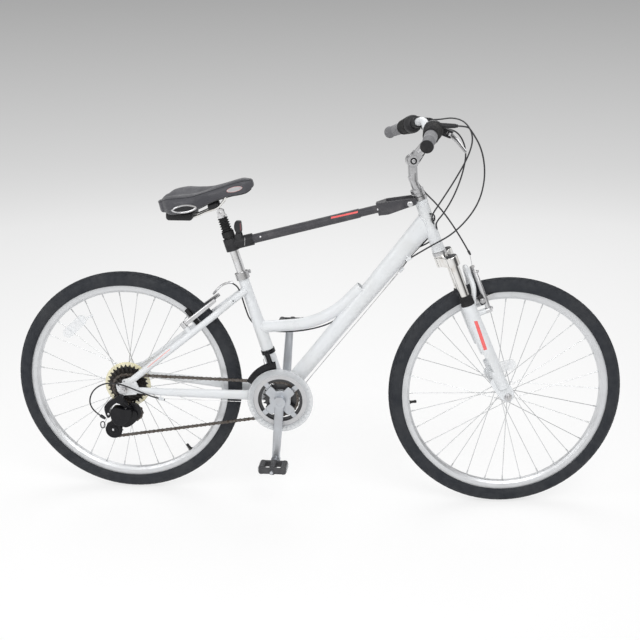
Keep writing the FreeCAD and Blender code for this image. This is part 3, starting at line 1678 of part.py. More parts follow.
def bar_points():
    return [
        V(bar_forward, 0, bar_height), V(bar_forward, bar_bulge_half, bar_height),
        V(bar_rise_forward, bar_rise_spread, bar_rise_height),
        V(bar_end_forward, bar_end_spread, bar_end_height),
    ]


def handlebar():
    half = bar_points()
    points = [V(point.x, -point.y, point.z) for point in reversed(half[1:])] + half[1:]
    bar = bent_rod(points, bar_radius, bar_bend_radius)
    bulge = AXIS_Y * (bar_clamp_width / 2)
    bar = fused([bar, rod(half[0] - bulge, half[0] + bulge, bar_clamp_radius)])
    for end, inner in ((points[0], points[1]), (points[-1], points[-2])):
        way = (inner - end).normalize()
        bar = bar.cut(rod(end - way * cut_overrun, end + way * grip_length, bar_bore))
    return bar


def grip_frame(side):
    """Frame at a bar end: Z runs inwards along the bar, X points where the lever is."""
    half = bar_points()
    end = V(half[3].x, half[3].y * side, half[3].z)
    inner = V(half[2].x, half[2].y * side, half[2].z)
    way = (inner - end).normalize()
    lean = math.radians(lever_lean)
    reach = V(math.cos(lean), 0, -math.sin(lean))
    reach = (reach - way * reach.dot(way)).normalize()
    return FreeCAD.Placement(end, FreeCAD.Rotation(reach, way.cross(reach), way, "ZXY"))


def grip(side):
    outline = [(bar_radius + seat_clearance, 0)]
    outline += [(grip_radius + grip_flange, 0), (grip_radius + grip_flange, grip_flange_width)]
    step = (grip_length - grip_flange_width) / grip_ribs
    for index in range(grip_ribs):
        low = grip_flange_width + step * index
        edge, fall, rise = (low + step * share for share in grip_rib_shares)
        root = grip_radius - grip_flange / 2
        outline += [(grip_radius, low), (grip_radius, edge), (root, fall), (root, rise)]
    outline += [(grip_radius, grip_length), (bar_radius + seat_clearance, grip_length)]
    cap = rod(V(0, 0, -grip_flange), ORIGIN, grip_radius)
    return placed(fused([lathe(outline, ORIGIN, AXIS_Z), cap]), grip_frame(side))


def twist_grip(side):
    low = grip_length + running_gap
    high = low + twist_length
    bore = bar_radius + shaft_clearance
    shoulder = twist_radius - twist_shoulder
    outline = [
        (bore, low), (shoulder, low), (twist_radius, low + twist_shoulder),
        (twist_radius, high - twist_shoulder),
        (housing_radius - twist_shoulder / 3, high - twist_shoulder),
        (housing_radius - twist_shoulder / 3, high), (bore, high),
    ]
    drum = lathe(outline, ORIGIN, AXIS_Z)
    flutes = []
    for index in range(twist_ribs):
        place = V(twist_radius, 0, low - cut_overrun)
        flute = rod(place, V(twist_radius, 0, high - twist_shoulder * 2), twist_rib_radius)
        flutes.append(
            placed(flute, FreeCAD.Placement(ORIGIN, FreeCAD.Rotation(AXIS_Z, 360.0 / twist_ribs * index)))
        )
    return placed(drum.cut(flutes), grip_frame(side))


def shifter_nose(side):
    """Where the shifter's cable nose starts in the grip's frame, and the level way that it points."""
    middle = grip_length + twist_length + running_gap * 2 + housing_length / 2
    lift = math.radians(housing_nose_lift)
    return V(0, housing_radius * housing_nose_share * side, middle), V(
        math.cos(lift), math.sin(lift) * side, 0
    )


def control_mounts():
    """On each side the shifter housing with its cable nose, and the lever bracket with its two ears."""
    pieces = []
    low = grip_length + twist_length + running_gap * 2
    high = low + housing_length
    bore = bar_radius + seat_clearance
    for side in SIDES:
        profile = [
            (bore, low), (housing_radius, low), (housing_radius, high - twist_shoulder),
            (housing_radius - twist_shoulder, high), (bore, high),
        ]
        core = rod(V(0, 0, low), V(0, 0, high), bore)
        nose_start, nose_way = shifter_nose(side)
        nose = along(
            Part.makeCone(housing_nose_root, housing_nose_tip, housing_nose_length), nose_start, nose_way
        )
        housing = fused([lathe(profile, ORIGIN, AXIS_Z), nose]).cut(core)
        frame = grip_frame(side)
        pieces.append(placed(housing, frame))
        ring_half = AXIS_Z * (bracket_width / 2)
        place = V(0, 0, bracket_place)
        ring = rod(place - ring_half, place + ring_half, bracket_radius)
        pivot = place + V(bracket_reach, 0, -lever_pivot_out)
        neck = rod(place, pivot - AXIS_X * (lever_boss_radius + running_gap * 2), bracket_neck_radius)
        ears = []
        for sign in SIDES:
            inner = AXIS_Y * (sign * (lever_pivot_height / 2 + running_gap))
            outer = inner + AXIS_Y * (sign * lever_ear_thickness)
            ears.append(rod(pivot + inner, pivot + outer, lever_boss_radius))
            width = AXIS_Z * lever_boss_radius
            root = pivot - AXIS_X * (bracket_reach / 2)
            ears.append(
                slab(
                    [
                        pivot + width + inner, pivot - width + inner,
                        root - width + inner, root + width + inner
                    ],
                    outer - inner
                )
            )
        pin_half = AXIS_Y * (lever_pivot_height / 2 + running_gap + lever_ear_thickness)
        pin = rod(pivot - pin_half, pivot + pin_half, lever_pivot_radius)
        bracket = fused([ring, neck] + ears + [pin]).cut(
            rod(place - ring_half * 2, place + ring_half * 2, bore)
        )
        pieces.append(placed(bracket, frame))
    return Part.makeCompound(pieces)


def brake_lever(side):
    pivot = V(bracket_reach, 0, bracket_place - lever_pivot_out)
    half = AXIS_Y * (lever_pivot_height / 2)
    boss = rod(pivot - half, pivot + half, lever_boss_radius)
    points = [pivot] + [
        pivot + V(reach * lever_length, 0, -out * lever_length) for out, reach in lever_blade_shares
    ]
    blade = bent_rod(points, lever_radius, lever_length)
    tip = Part.makeSphere(lever_radius, points[-1])
    lever = fused([boss, blade, tip]).cut(
        rod(pivot - half * 2, pivot + half * 2, lever_pivot_radius + shaft_clearance)
    )
    return placed(largest(lever), grip_frame(side))


def fork_lowers():
    """Two tapered legs with fork ends and brake posts, and the brace that arches over the tyre."""
    legs = []
    for side in SIDES:
        sections = []
        for (share, depth, width), lean in zip(leg_depths_shares, leg_lean_shares):
            forward = stanchion_set_forward + (fork_offset - stanchion_set_forward) * lean
            place = V(forward, stanchion_spread * side, leg_top * share)
            sections.append(oval(place, AXIS_Z, AXIS_X, leg_depth * depth / 2, leg_width * width / 2))
        leg = Part.makeLoft(list(reversed(sections)), True)
        inner = fork_spacing / 2 * side
        thick = AXIS_Y * (fork_end_thickness * side)
        hub_place = V(fork_offset, inner, 0)
        half = AXIS_X * (fork_end_depth / 2)
        root = V(fork_offset - fork_end_radius / 3, inner, fork_end_height)
        tongue = slab(
            [
                hub_place - half * fork_end_tip_share,
                hub_place + half * fork_end_tip_share, root + half, root - half
            ],
            thick
        )
        end = fused([leg, tongue, rod(hub_place, hub_place + thick, fork_end_radius)])
        post = V(fork_offset + front_brake_forward, brake_pivot_spread * side, brake_pivot_height)
        reach = AXIS_X * (brake_barrel_length / 2)
        root_place = V(stanchion_set_forward + leg_depth / 4, brake_pivot_spread * side, brake_pivot_height)
        boss = rod(root_place, post - reach - AXIS_X * running_gap, brake_barrel_radius)
        pin = rod(root_place, post + reach, brake_post_radius)
        end = fused([end, boss, pin])
        bore_top = V(stanchion_set_forward, stanchion_spread * side, leg_top)
        bore = rod(
            bore_top - AXIS_Z * leg_bore_depth,
            bore_top + AXIS_Z * cut_overrun, stanchion_radius + running_gap
        )
        end = end.cut(bore).cut(rod(hub_place - thick, hub_place + thick * 2, axle_radius + seat_clearance))
        legs.append(end)
    shoulder = leg_top + (brace_height - leg_top) * brace_shoulder_share
    forward = stanchion_set_forward + leg_depth / 3
    points = [V(forward, brace_spread, leg_top - brace_radius * 2), V(brace_forward, brace_spread, shoulder)]
    points += [V(brace_forward, brace_spread / 2, brace_height)]
    points += [V(point.x, -point.y, point.z) for point in reversed(points)]
    brace = bent_rod(points, brace_radius, brace_spread)
    for side in SIDES:
        bore_top = V(stanchion_set_forward, stanchion_spread * side, leg_top)
        brace = brace.cut(
            rod(
                bore_top - AXIS_Z * leg_bore_depth,
                bore_top + AXIS_Z * brace_height, wiper_radius + running_gap
            )
        )
    return largest(fused(legs + [brace]))


def fork_wipers():
    bore = stanchion_radius + running_gap
    step = wiper_height / wiper_ribs
    outline = [(bore, 0)]
    for index in range(wiper_ribs):
        low = step * index
        radius = wiper_radius - (wiper_radius - wiper_lip) * index / wiper_ribs
        root = radius - running_gap * 4
        edge, fall = (low + step * share for share in wiper_rib_shares)
        outline += [(radius, low), (radius, edge), (root, fall), (root, low + step)]
    outline += [(bore, wiper_height)]
    places = [V(stanchion_set_forward, stanchion_spread * side, leg_top + seat_clearance) for side in SIDES]
    return Part.makeCompound([lathe(outline, place, AXIS_Z) for place in places])


# Rim brakes, in a frame at the hub with Z towards the brake and X the way its posts point

stay_line = seat_point(seat_stay_join) - (rear_hub + seat_stay_foot)
stay_way = V(stay_line.x, 0, stay_line.z).normalize()
rear_brake_frame = FreeCAD.Placement(
    rear_hub, FreeCAD.Rotation(AXIS_Y.cross(stay_way), AXIS_Y, stay_way, "ZXY")
)
front_brake_frame = front_wheel_frame


def brake_arm(side, forward):
    """Arm on its post, with the pad and stud that it carries."""
    pivot = V(forward, brake_pivot_spread * side, brake_pivot_height)
    reach = AXIS_X * (brake_barrel_length / 2)
    barrel = rod(pivot - reach, pivot + reach, brake_barrel_radius)
    top = V(forward, brake_arm_top_spread * side, brake_arm_top)
    run = top - pivot
    way = V(run).normalize()
    bow = pivot + run * brake_arm_bow_share + AXIS_Y * (brake_arm_thickness / 2 * side)
    sections = [
        oval(pivot, way, AXIS_X, brake_arm_width / 2, brake_arm_thickness / 2),
        oval(bow, way, AXIS_X, brake_arm_width / 2, brake_arm_thickness / 2),
        oval(
            top, way, AXIS_X, brake_arm_width * brake_arm_tip_share,
            brake_arm_thickness * brake_arm_tip_share
        ),
    ]
    arm = fused([barrel, Part.makeLoft(sections, True)])
    arm = arm.cut(rod(pivot - reach * 2, pivot + reach * 2, brake_post_radius + shaft_clearance))
    pad_z = math.sqrt(pad_track_radius ** 2 - forward ** 2)
    face = rim_width / 2 + pad_gap
    back = face + pad_thickness
    corners = []
    for sign_x, sign_z in ((-1, -1), (1, -1), (1, 1), (-1, 1)):
        corners.append(V(forward + sign_x * pad_length / 2, face * side, pad_z + sign_z * pad_height / 2))
    pad = slab(corners, AXIS_Y * (pad_thickness * side))
    stud = rod(V(forward, back * side, pad_z), V(forward, brake_pivot_spread * side, pad_z), pad_stud_radius)
    return Part.makeCompound([largest(fused([arm, stud])), pad])


# Seatpost and saddle

def seatpost():
    foot = seat_point(seatpost_foot)
    top = seat_point(seatpost_top)
    tube = pipe_between(foot, top, seatpost_radius, seatpost_bore)
    bore = piston_radius + running_gap
    low = seatpost_top
    skirt = seatpost_radius + seat_clearance
    profile = [
        (bore, low), (skirt, low), (skirt, low - collar_height / 2), (collar_radius, low - collar_height / 2),
        (collar_radius, low + collar_height / 2), (bore, low + collar_height / 2),
    ]
    return Part.makeCompound([tube, lathe(profile, bottom_bracket, seat_way)])


def bellows_base():
    return seatpost_top + collar_height / 2 + seat_clearance


def bellows():
    """Ribbed rubber boot round the piston: four circles to a rib, ruled from one to the next."""
    step = bellows_height / bellows_ribs
    wires = []
    for index in range(bellows_ribs):
        for share, radius in zip(
            bellows_rib_shares, (bellows_root, bellows_radius, bellows_radius, bellows_root)
        ):
            place = seat_point(bellows_base() + step * (index + share))
            wires.append((place, radius))
    wires.append((seat_point(bellows_base() + bellows_height), bellows_root))
    outline = [oval(place, seat_way, AXIS_Y, radius, radius) for place, radius in wires]
    boot = Part.makeLoft(outline, True, True)
    reach = seat_way * cut_overrun
    return boot.cut(rod(wires[0][0] - reach, wires[-1][0] + reach, bellows_bore))


clamp_center = seat_point(clamp_height)
saddle_origin = clamp_center + V(-saddle_setback, 0, saddle_lift)
saddle_frame = FreeCAD.Placement(saddle_origin, FreeCAD.Rotation(AXIS_Y, -saddle_tilt))


def seatpost_piston():
    """Sliding upper post with the tongue that the rail clamp turns on."""
    foot = seat_point(piston_foot)
    head_base = bellows_base() + bellows_height + seat_clearance
    head = rod(seat_point(head_base), seat_point(head_base + piston_head_height), piston_head_radius)
    half = AXIS_Y * clamp_tongue_half
    eye = rod(clamp_center - half, clamp_center + half, clamp_disc_radius)
    width = seat_way.cross(AXIS_Y) * clamp_disc_radius
    root = seat_point(head_base + piston_head_height / 2)
    corners = [
        root + width - half, root - width - half, clamp_center - width - half, clamp_center + width - half
    ]
    tongue = slab(corners, half * 2)
    body = fused([rod(foot, seat_point(head_base), piston_radius), head, tongue, eye])
    return body.cut(rod(clamp_center - half * 2, clamp_center + half * 2, clamp_pin_radius + running_gap))


def rail_points(side):
    nose = saddle_length * rail_nose_share - saddle_back
    nose_height, tail_height = (saddle_depth * share - base_thickness * 2 for share in rail_end_height_shares)
    nose_spread, tail_spread = (rail_spread * share * side for share in rail_end_spread_shares)
    front = nose * rail_front_share
    rear, tail = (-saddle_back * share for share in rail_back_shares)
    return [
        V(nose, nose_spread, nose_height), V(front, rail_spread * side, -rail_low),
        V(rear, rail_spread * side, -rail_low), V(tail, tail_spread, tail_height),
    ]


def saddle_rails():
    """Two bent rails, and the clamp: cheeks on the bolt through the post, and a cradle on each rail."""
    pieces = []
    pivot = saddle_frame.inverse().multVec(clamp_center)
    inner = clamp_tongue_half + running_gap
    outer = inner + clamp_cheek
    bolt_half = AXIS_Y * (outer + clamp_pin_radius)
    bolt = rod(pivot - bolt_half, pivot + bolt_half, clamp_pin_radius)
    for side in SIDES:
        rail = bent_rod(rail_points(side), rail_radius, rail_spread * 2)
        pieces.append(rail)
        near = AXIS_Y * (inner * side)
        depth = AXIS_Y * (clamp_cheek * side)
        width = AXIS_X * clamp_disc_radius
        rise = V(0, 0, -rail_low - pivot.z)
        half_cradle = AXIS_X * (cradle_length / 2)
        cradle_foot = V(0, inner * side, -rail_low - clamp_cheek)
        cradle_top = V(0, inner * side, -rail_low + clamp_cheek / 2)
        cradle_depth = AXIS_Y * ((rail_spread + rail_radius * cradle_lap_share - inner) * side)
        cheek = fused([
            rod(pivot + near, pivot + near + depth, clamp_disc_radius),
            slab(
                [
                    pivot + near - width, pivot + near + width,
                    pivot + near + width + rise, pivot + near - width + rise
                ],
                depth
            ),
            slab(
                [
                    cradle_foot - half_cradle, cradle_foot + half_cradle,
                    cradle_top + half_cradle, cradle_top - half_cradle
                ],
                cradle_depth,
            ),
        ])
        pieces.append(largest(cheek.cut(bolt).cut(rail)))
    pieces.append(bolt)
    return placed(Part.makeCompound(pieces), saddle_frame)


def saddle_section(share, width, low, high, inset):
    """Closed outline across the saddle: flat hem, sides drawn in below a shoulder, crowned top."""
    x = saddle_length * share - saddle_back
    half = saddle_width * width / 2 - inset
    bottom = saddle_depth * low
    top = saddle_depth * high - inset
    shoulder = bottom + (top - bottom) * saddle_shoulder_share
    side = bottom + (top - bottom) * saddle_side_share
    hem = half * saddle_hem_share
    lip = half * saddle_lip_share

    def point(y, z):
        return V(x, y, z)

    return Part.Wire([
        Part.makeLine(point(-hem, bottom), point(hem, bottom)),
        arc_edge(point(hem, bottom), point(half, side), point(lip, shoulder)),
        arc_edge(point(lip, shoulder), point(0, top), point(-lip, shoulder)),
        arc_edge(point(-lip, shoulder), point(-half, side), point(-hem, bottom)),
    ])


def saddle_cover():
    sections = [saddle_section(*shares, 0) for shares in saddle_shares]
    return placed(Part.makeLoft(sections, True), saddle_frame)


def saddle_base():
    """Stiff shell under the padding, following its hem, with a socket for each end of the rails."""
    wires = []
    for share, width, low, high in saddle_shares:
        x = saddle_length * share - saddle_back
        half = saddle_width * width / 2 * saddle_hem_share - base_inset
        top = saddle_depth * low - running_gap
        bottom = top - base_thickness
        wires.append(Part.makePolygon([
            V(x, -half, bottom), V(x, half, bottom), V(x, half, top), V(x, -half, top), V(x, -half, bottom),
        ]))
    pieces = [Part.makeLoft(wires, True)]
    for side in SIDES:
        points = rail_points(side)
        for place in (points[0], points[-1]):
            pieces.append(rod(place - AXIS_X * rail_radius, place + AXIS_X * rail_radius, socket_radius))
            pieces.append(rod(place, place + AXIS_Z * (base_thickness * socket_rise_share), socket_radius))
    shell = fused(pieces)
    for side in SIDES:
        shell = shell.cut(bent_rod(rail_points(side), rail_radius, rail_spread * 2))
    return placed(largest(shell), saddle_frame)


# Carrier bar

carrier_base = seat_point(carrier_height)
carrier_run = straight_frame.multVec(V(0, 0, head_top + carrier_aim)) - carrier_base
carrier_way = V(carrier_run).normalize()
carrier_up = carrier_way.cross(AXIS_Y)
carrier_tube_end = carrier_run.Length * carrier_tube_share
carrier_slide_end = carrier_run.Length - carrier_slide_gap


def carrier_point(distance):
    return carrier_base + carrier_way * distance


def carrier_clamp():
    """Ring round the seatpost with a socket for the bar and two ears for its lever."""
    half = seat_way * (carrier_ring_height / 2)
    reach = seat_way * cut_overrun
    outer = seatpost_radius + running_gap + carrier_ring_wall
    pieces = [rod(carrier_base - half, carrier_base + half, outer)]
    pieces.append(rod(carrier_base, carrier_point(carrier_socket_reach), carrier_socket_radius))
    pin = carrier_lever_place()
    for sign in SIDES:
        inner = AXIS_Y * (sign * (carrier_lever_width / 2 + running_gap))
        depth = AXIS_Y * (sign * carrier_lever_thickness)
        side_way = carrier_way * carrier_lever_ear
        foot = carrier_point(carrier_lever_out)
        pieces.append(
            slab(
                [
                    foot - side_way + inner, foot + side_way + inner,
                    pin + side_way + inner, pin - side_way + inner
                ],
                depth
            )
        )
    body = fused(pieces)
    body = body.cut(
        rod(carrier_base - half - reach, carrier_base + half + reach, seatpost_radius + running_gap)
    )
    tube = rod(carrier_point(carrier_tube_start), carrier_point(carrier_tube_end), carrier_tube_radius)
    span = AXIS_Y * (carrier_lever_width / 2 + carrier_lever_thickness + running_gap)
    axle = rod(pin - span, pin + span, carrier_lever_pin)
    return Part.makeCompound([largest(body.cut(tube).cut(axle)), axle])


def carrier_lever_place():
    """Pin that the carrier's clamp lever turns on."""
    return carrier_point(carrier_lever_out) + carrier_up * (carrier_socket_radius + carrier_lever_ear)


def carrier_lever():
    pin = carrier_lever_place()
    half = AXIS_Y * (carrier_lever_width / 2)
    eye = carrier_lever_ear - carrier_lever_thickness / 2
    root = rod(pin - half, pin + half, eye)
    tip_way = seat_way * carrier_lever_length
    side_way = seat_way.cross(AXIS_Y) * (carrier_lever_thickness / 2)
    blade = slab(
        [
            pin + side_way - half, pin - side_way - half,
            pin - side_way + tip_way - half, pin + side_way + tip_way - half
        ],
        half * 2
    )
    tip = rod(pin + tip_way - half, pin + tip_way + half, carrier_lever_thickness * carrier_lever_tip_share)
    return fused([root, blade, tip]).cut(
        rod(pin - half * 2, pin + half * 2, carrier_lever_pin + shaft_clearance)
    )


def carrier_bar():
    """Outer tube, sliding inner tube, and the yoke whose prongs stand on both sides of the headset."""
    outer = pipe_between(
        carrier_point(carrier_tube_start), carrier_point(carrier_tube_end),
        carrier_tube_radius, carrier_tube_bore
    )
    slide_start = carrier_point(carrier_tube_end - carrier_slide_end / 4)
    slide = pipe_between(
        slide_start, carrier_point(carrier_slide_end), carrier_slide_radius, carrier_slide_bore
    )
    base = carrier_point(carrier_slide_end - yoke_block / 2)
    half_depth = carrier_up * (yoke_depth / 2)
    width = yoke_half_gap + yoke_prong
    block_end = base + carrier_way * yoke_block
    spread = AXIS_Y * width
    root = spread * yoke_root_share
    corners = [base - root, base + root, block_end + spread, block_end - spread]
    block = slab([corner - half_depth for corner in corners], half_depth * 2)
    prongs = []
    for side in SIDES:
        inner = AXIS_Y * (yoke_half_gap * side)
        end = block_end + carrier_way * (yoke_reach - yoke_block)
        drop = half_depth * yoke_tip_share
        thick = AXIS_Y * (yoke_prong * side)
        corners = [block_end - half_depth, block_end + half_depth, end + drop, end - drop]
        prongs.append(slab([corner + inner for corner in corners], thick))
        prongs.append(rod(end + inner, end + inner + thick, drop.Length))
    yoke = fused([block] + prongs)
    bolt_place = base + carrier_way * yoke_bolt_reach
    span = AXIS_Y * (width + yoke_bolt_head_width)
    bolt = rod(bolt_place - span, bolt_place + span, yoke_bolt_radius)
    heads = [
        rod(bolt_place + spread * side, bolt_place + span * side, yoke_bolt_head).cut(bolt) for side in SIDES
    ]
    tube = rod(slide_start, carrier_point(carrier_slide_end), carrier_slide_radius)
    return Part.makeCompound([outer, slide, largest(yoke.cut(tube).cut(bolt)), bolt] + heads)


# Cables

def routed(points):
    """Route points in the bike's frame. Those ahead of the bottom bracket move with the front end."""
    shift = wheelbase - route_wheelbase
    places = []
    for x, y, z in points:
        share = min(max((x - bottom_bracket_reach) / (route_head - bottom_bracket_reach), 0), 1)
        places.append(V(x + shift * share - wheelbase / 2, y, z))
    return places


def cord(points, radius):
    """Cable along straight runs and wide tangent arcs. Prints its bends and how its volume compares."""
    path, radii = route_wire(points, cable_bend)
    solid = bent_rod(points, radius, cable_bend)
    share = solid.Volume / (math.pi * radius ** 2 * path.Length)
    print(
        "cord length", round(path.Length), "tightest bend",
        round(min(radii or [0])), "volume share", round(share, 3)
    )
    return solid


def nose_lead(side):
    """Where a shift cable leaves its shifter's nose, and a point straight ahead of it."""
    frame = bar_frame.multiply(grip_frame(side))
    start, way = shifter_nose(side)
    reach = housing_nose_length + seat_clearance
    return [frame.multVec(start + way * reach), frame.multVec(start + way * (reach + cable_lead))]


def bracket_lead(side):
    """Where a brake cable leaves its lever bracket, and a point straight ahead of it."""
    frame = bar_frame.multiply(grip_frame(side))
    reach = bracket_reach - lever_boss_radius * 2
    slant = lever_pivot_out * reach / bracket_reach
    start = V(reach, 0, bracket_place - slant + bracket_neck_radius + seat_clearance)
    return [frame.multVec(start), frame.multVec(start + AXIS_Z * cable_lead)]


def wire_across(frame, forward):
    """Bare wire between the tops of a brake's two arms."""
    half = brake_arm_top_spread - brake_arm_thickness * brake_arm_tip_share - running_gap
    ends = [frame.multVec(V(forward, half * side, brake_arm_top - wire_radius)) for side in SIDES]
    return rod(ends[0], ends[1], wire_radius)


def brake_cables():
    front_housing = bracket_lead(LEFT) + routed(front_brake_route)
    front_end = front_brake_frame.multVec(V(front_brake_forward, 0, brake_arm_top - wire_radius))
    return Part.makeCompound([
        cord(bracket_lead(RIGHT) + routed(rear_brake_route), cable_radius),
        cord(front_housing, cable_radius),
        rod(front_housing[-1], front_end, wire_radius).cut(bent_rod(front_housing, cable_radius, cable_bend)),
        wire_across(front_brake_frame, front_brake_forward),
        wire_across(rear_brake_frame, rear_brake_forward),
    ])


def shift_cables():
    return Part.makeCompound([
        cord(nose_lead(RIGHT) + routed(right_shift_route), cable_radius),
        cord(routed(right_wire_route), wire_radius),
        cord(routed(rear_loop_route), cable_radius),
        cord(nose_lead(LEFT) + routed(left_shift_route), cable_radius),
        cord(routed(left_wire_route), wire_radius),
    ])


def main():
    circles, rollers = solve_drive()
    phases = [roller_phase(rollers, circle) for circle in circles]
    nodes = {
        "head_tube": head_tube(),
        "down_tube": down_tube(),
        "top_tube": top_tube(),
        "seat_tube": seat_tube(),
        "bottom_bracket_shell": bottom_bracket_shell(),
        "chain_stays": chain_stays(),
        "seat_stays": seat_stays(),
        "headset_cups": headset_cups(),
        "seat_clamp": seat_clamp(),
        "rear_axle": placed(rear_axle(), rear_wheel_frame),
        "carrier_clamp": carrier_clamp(),
        "carrier_bar": carrier_bar(),
        "carrier_lever": carrier_lever(),
        "front_mech": front_mech(),
        "rear_mech_body": mech_body(circles),
        "rear_mech_cage": mech_cage(circles),
        "chain": chain(rollers),
        "seatpost": seatpost(),
        "seatpost_piston": seatpost_piston(),
        "seatpost_bellows": bellows(),
        "saddle_rails": saddle_rails(),
        "saddle_base": saddle_base(),
        "saddle_cover": saddle_cover(),
        "fork_crown": placed(fork_crown(), steered_frame),
        "stanchions": placed(stanchions(), steered_frame),
        "stem_quill": placed(stem_quill(), bar_frame),
        "stem_extension": placed(stem_extension(), bar_frame),
        "handlebar": placed(handlebar(), bar_frame),
        "grips": placed(Part.makeCompound([grip(side) for side in SIDES]), bar_frame),
        "control_mounts": placed(control_mounts(), bar_frame),
        "twist_grip_right": placed(twist_grip(RIGHT), bar_frame),
        "twist_grip_left": placed(twist_grip(LEFT), bar_frame),
        "brake_lever_right": placed(brake_lever(RIGHT), bar_frame),
        "brake_lever_left": placed(brake_lever(LEFT), bar_frame),
        "fork_lowers": placed(fork_lowers(), steered_frame),
        "fork_wipers": placed(fork_wipers(), steered_frame),
        "front_axle": placed(front_axle(), front_wheel_frame),
        "front_brake_arm_right": placed(brake_arm(RIGHT, front_brake_forward), front_brake_frame),
        "front_brake_arm_left": placed(brake_arm(LEFT, front_brake_forward), front_brake_frame),
        "rear_brake_arm_right": placed(brake_arm(RIGHT, rear_brake_forward), rear_brake_frame),
        "rear_brake_arm_left": placed(brake_arm(LEFT, rear_brake_forward), rear_brake_frame),
        "front_tyre": placed(tyre(front_valve_angle), front_wheel_frame),
        "front_rim": placed(rim(), front_wheel_frame),
        "front_spokes": placed(front_spokes(), front_wheel_frame),
        "front_hub": placed(front_hub_shell(), front_wheel_frame),
        "rear_tyre": placed(tyre(rear_valve_angle), rear_wheel_frame),
        "rear_rim": placed(rim(), rear_wheel_frame),
        "rear_spokes": placed(rear_spokes(), rear_wheel_frame),
        "rear_hub": placed(rear_hub_shell(), rear_wheel_frame),
        "spoke_guard": placed(spoke_guard(), rear_wheel_frame),
        "freewheel": placed(freewheel(phases[1]), rear_wheel_frame),
        "crank_arms": crank_arms(),
        "chainrings": chainrings(phases[0]),
        "chain_guard": chain_guard(),
        "pedal_right": pedal(RIGHT),
        "pedal_left": pedal(LEFT),
        "guide_pulley": pulley(circles[2], phases[2]),
        "tension_pulley": pulley(circles[3], phases[3]),
        "brake_cables": brake_cables(),
        "shift_cables": shift_cables(),
    }
    os.makedirs("parts", exist_ok=True)
    for name, shape in nodes.items():
        shape.exportStep("parts/" + name + ".step")
        print(
            name, len(shape.Solids), "solids", len(shape.Faces),
            "faces", shape.isValid(), round(shape.Volume)
        )


if __name__ == "__main__":
    main()
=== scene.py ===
import json
import math

import bpy
from mathutils import Matrix, Vector
from mathutils.bvhtree import BVHTree


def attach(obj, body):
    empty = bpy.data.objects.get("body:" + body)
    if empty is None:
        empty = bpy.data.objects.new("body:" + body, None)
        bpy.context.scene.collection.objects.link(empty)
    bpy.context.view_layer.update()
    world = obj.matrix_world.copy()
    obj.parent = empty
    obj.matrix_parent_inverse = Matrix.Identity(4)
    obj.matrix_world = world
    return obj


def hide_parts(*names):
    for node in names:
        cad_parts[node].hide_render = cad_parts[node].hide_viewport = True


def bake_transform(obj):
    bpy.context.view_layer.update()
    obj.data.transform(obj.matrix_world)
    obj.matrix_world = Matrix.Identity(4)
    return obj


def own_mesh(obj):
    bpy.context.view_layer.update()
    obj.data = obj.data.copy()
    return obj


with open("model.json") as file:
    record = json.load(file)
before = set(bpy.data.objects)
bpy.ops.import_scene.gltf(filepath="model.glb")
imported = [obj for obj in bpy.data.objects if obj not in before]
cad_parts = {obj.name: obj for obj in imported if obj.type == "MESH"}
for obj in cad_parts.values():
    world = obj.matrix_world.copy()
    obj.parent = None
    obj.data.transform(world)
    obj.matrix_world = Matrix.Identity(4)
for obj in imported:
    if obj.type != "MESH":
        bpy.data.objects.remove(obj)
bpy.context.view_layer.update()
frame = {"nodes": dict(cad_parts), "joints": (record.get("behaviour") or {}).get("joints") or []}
nodes = frame["nodes"]
joints = {joint["name"]: joint for joint in frame["joints"]}


def place_of(joint):
    return Vector(joints[joint]["pos_m"])


def axis_of(joint):
    return Vector(joints[joint]["axis"])


UP = Vector((0, 0, 1))
SIDE = Vector((0, 1, 0))
FORWARD = Vector((1, 0, 0))
RIGHT = -1
LEFT = 1

# Places that come from the frame, in metres.
rear_hub = place_of("rear_wheel_spin")
front_hub = place_of("front_wheel_spin")
front_axle_way = axis_of("front_wheel_spin")
seat_way = axis_of("seatpost_height")
steer_way = axis_of("steering")
saddle_pivot = place_of("saddle_tilt")
wheel_radius = rear_hub.z
half_wheelbase = -rear_hub.x

# Photograph: the camera's place, its turn in radians and its focal length in pixels of a square image.
camera_place = Vector((0.3071, -2.9899, 1.4236))
camera_yaw = 0.097
camera_pitch = 0.2919
camera_roll = -0.0049
focal_pixels = 1125.34
image_pixels = 640
sensor_width = 36.0


def camera_axes():
    """Right, down and ahead of the camera."""
    upright = Matrix(((1, 0, 0), (0, 0, -1), (0, 1, 0)))
    yaw = Matrix.Rotation(-camera_yaw, 3, "Z")
    pitch = Matrix.Rotation(camera_pitch, 3, "X")
    roll = Matrix.Rotation(camera_roll, 3, "Z")
    return [Vector(row) for row in roll @ pitch @ upright @ yaw]


camera_right, camera_down, camera_ahead = camera_axes()


def sight(u, v):
    """Direction in which a pixel of the photograph is seen."""
    across, down = ((pixel - image_pixels / 2) / focal_pixels for pixel in (u, v))
    return (camera_ahead + camera_right * across + camera_down * down).normalized()


def seen_on_plane(u, v, place, normal):
    """Where a pixel's line of sight meets a plane."""
    way = sight(u, v)
    return camera_place + way * ((place - camera_place).dot(normal) / way.dot(normal))


def from_rear(x, y, z):
    """A place in millimetres, x measured from the rear axle, in the row frame."""
    return Vector((x / 1000 - half_wheelbase, y / 1000, z / 1000))


# Materials

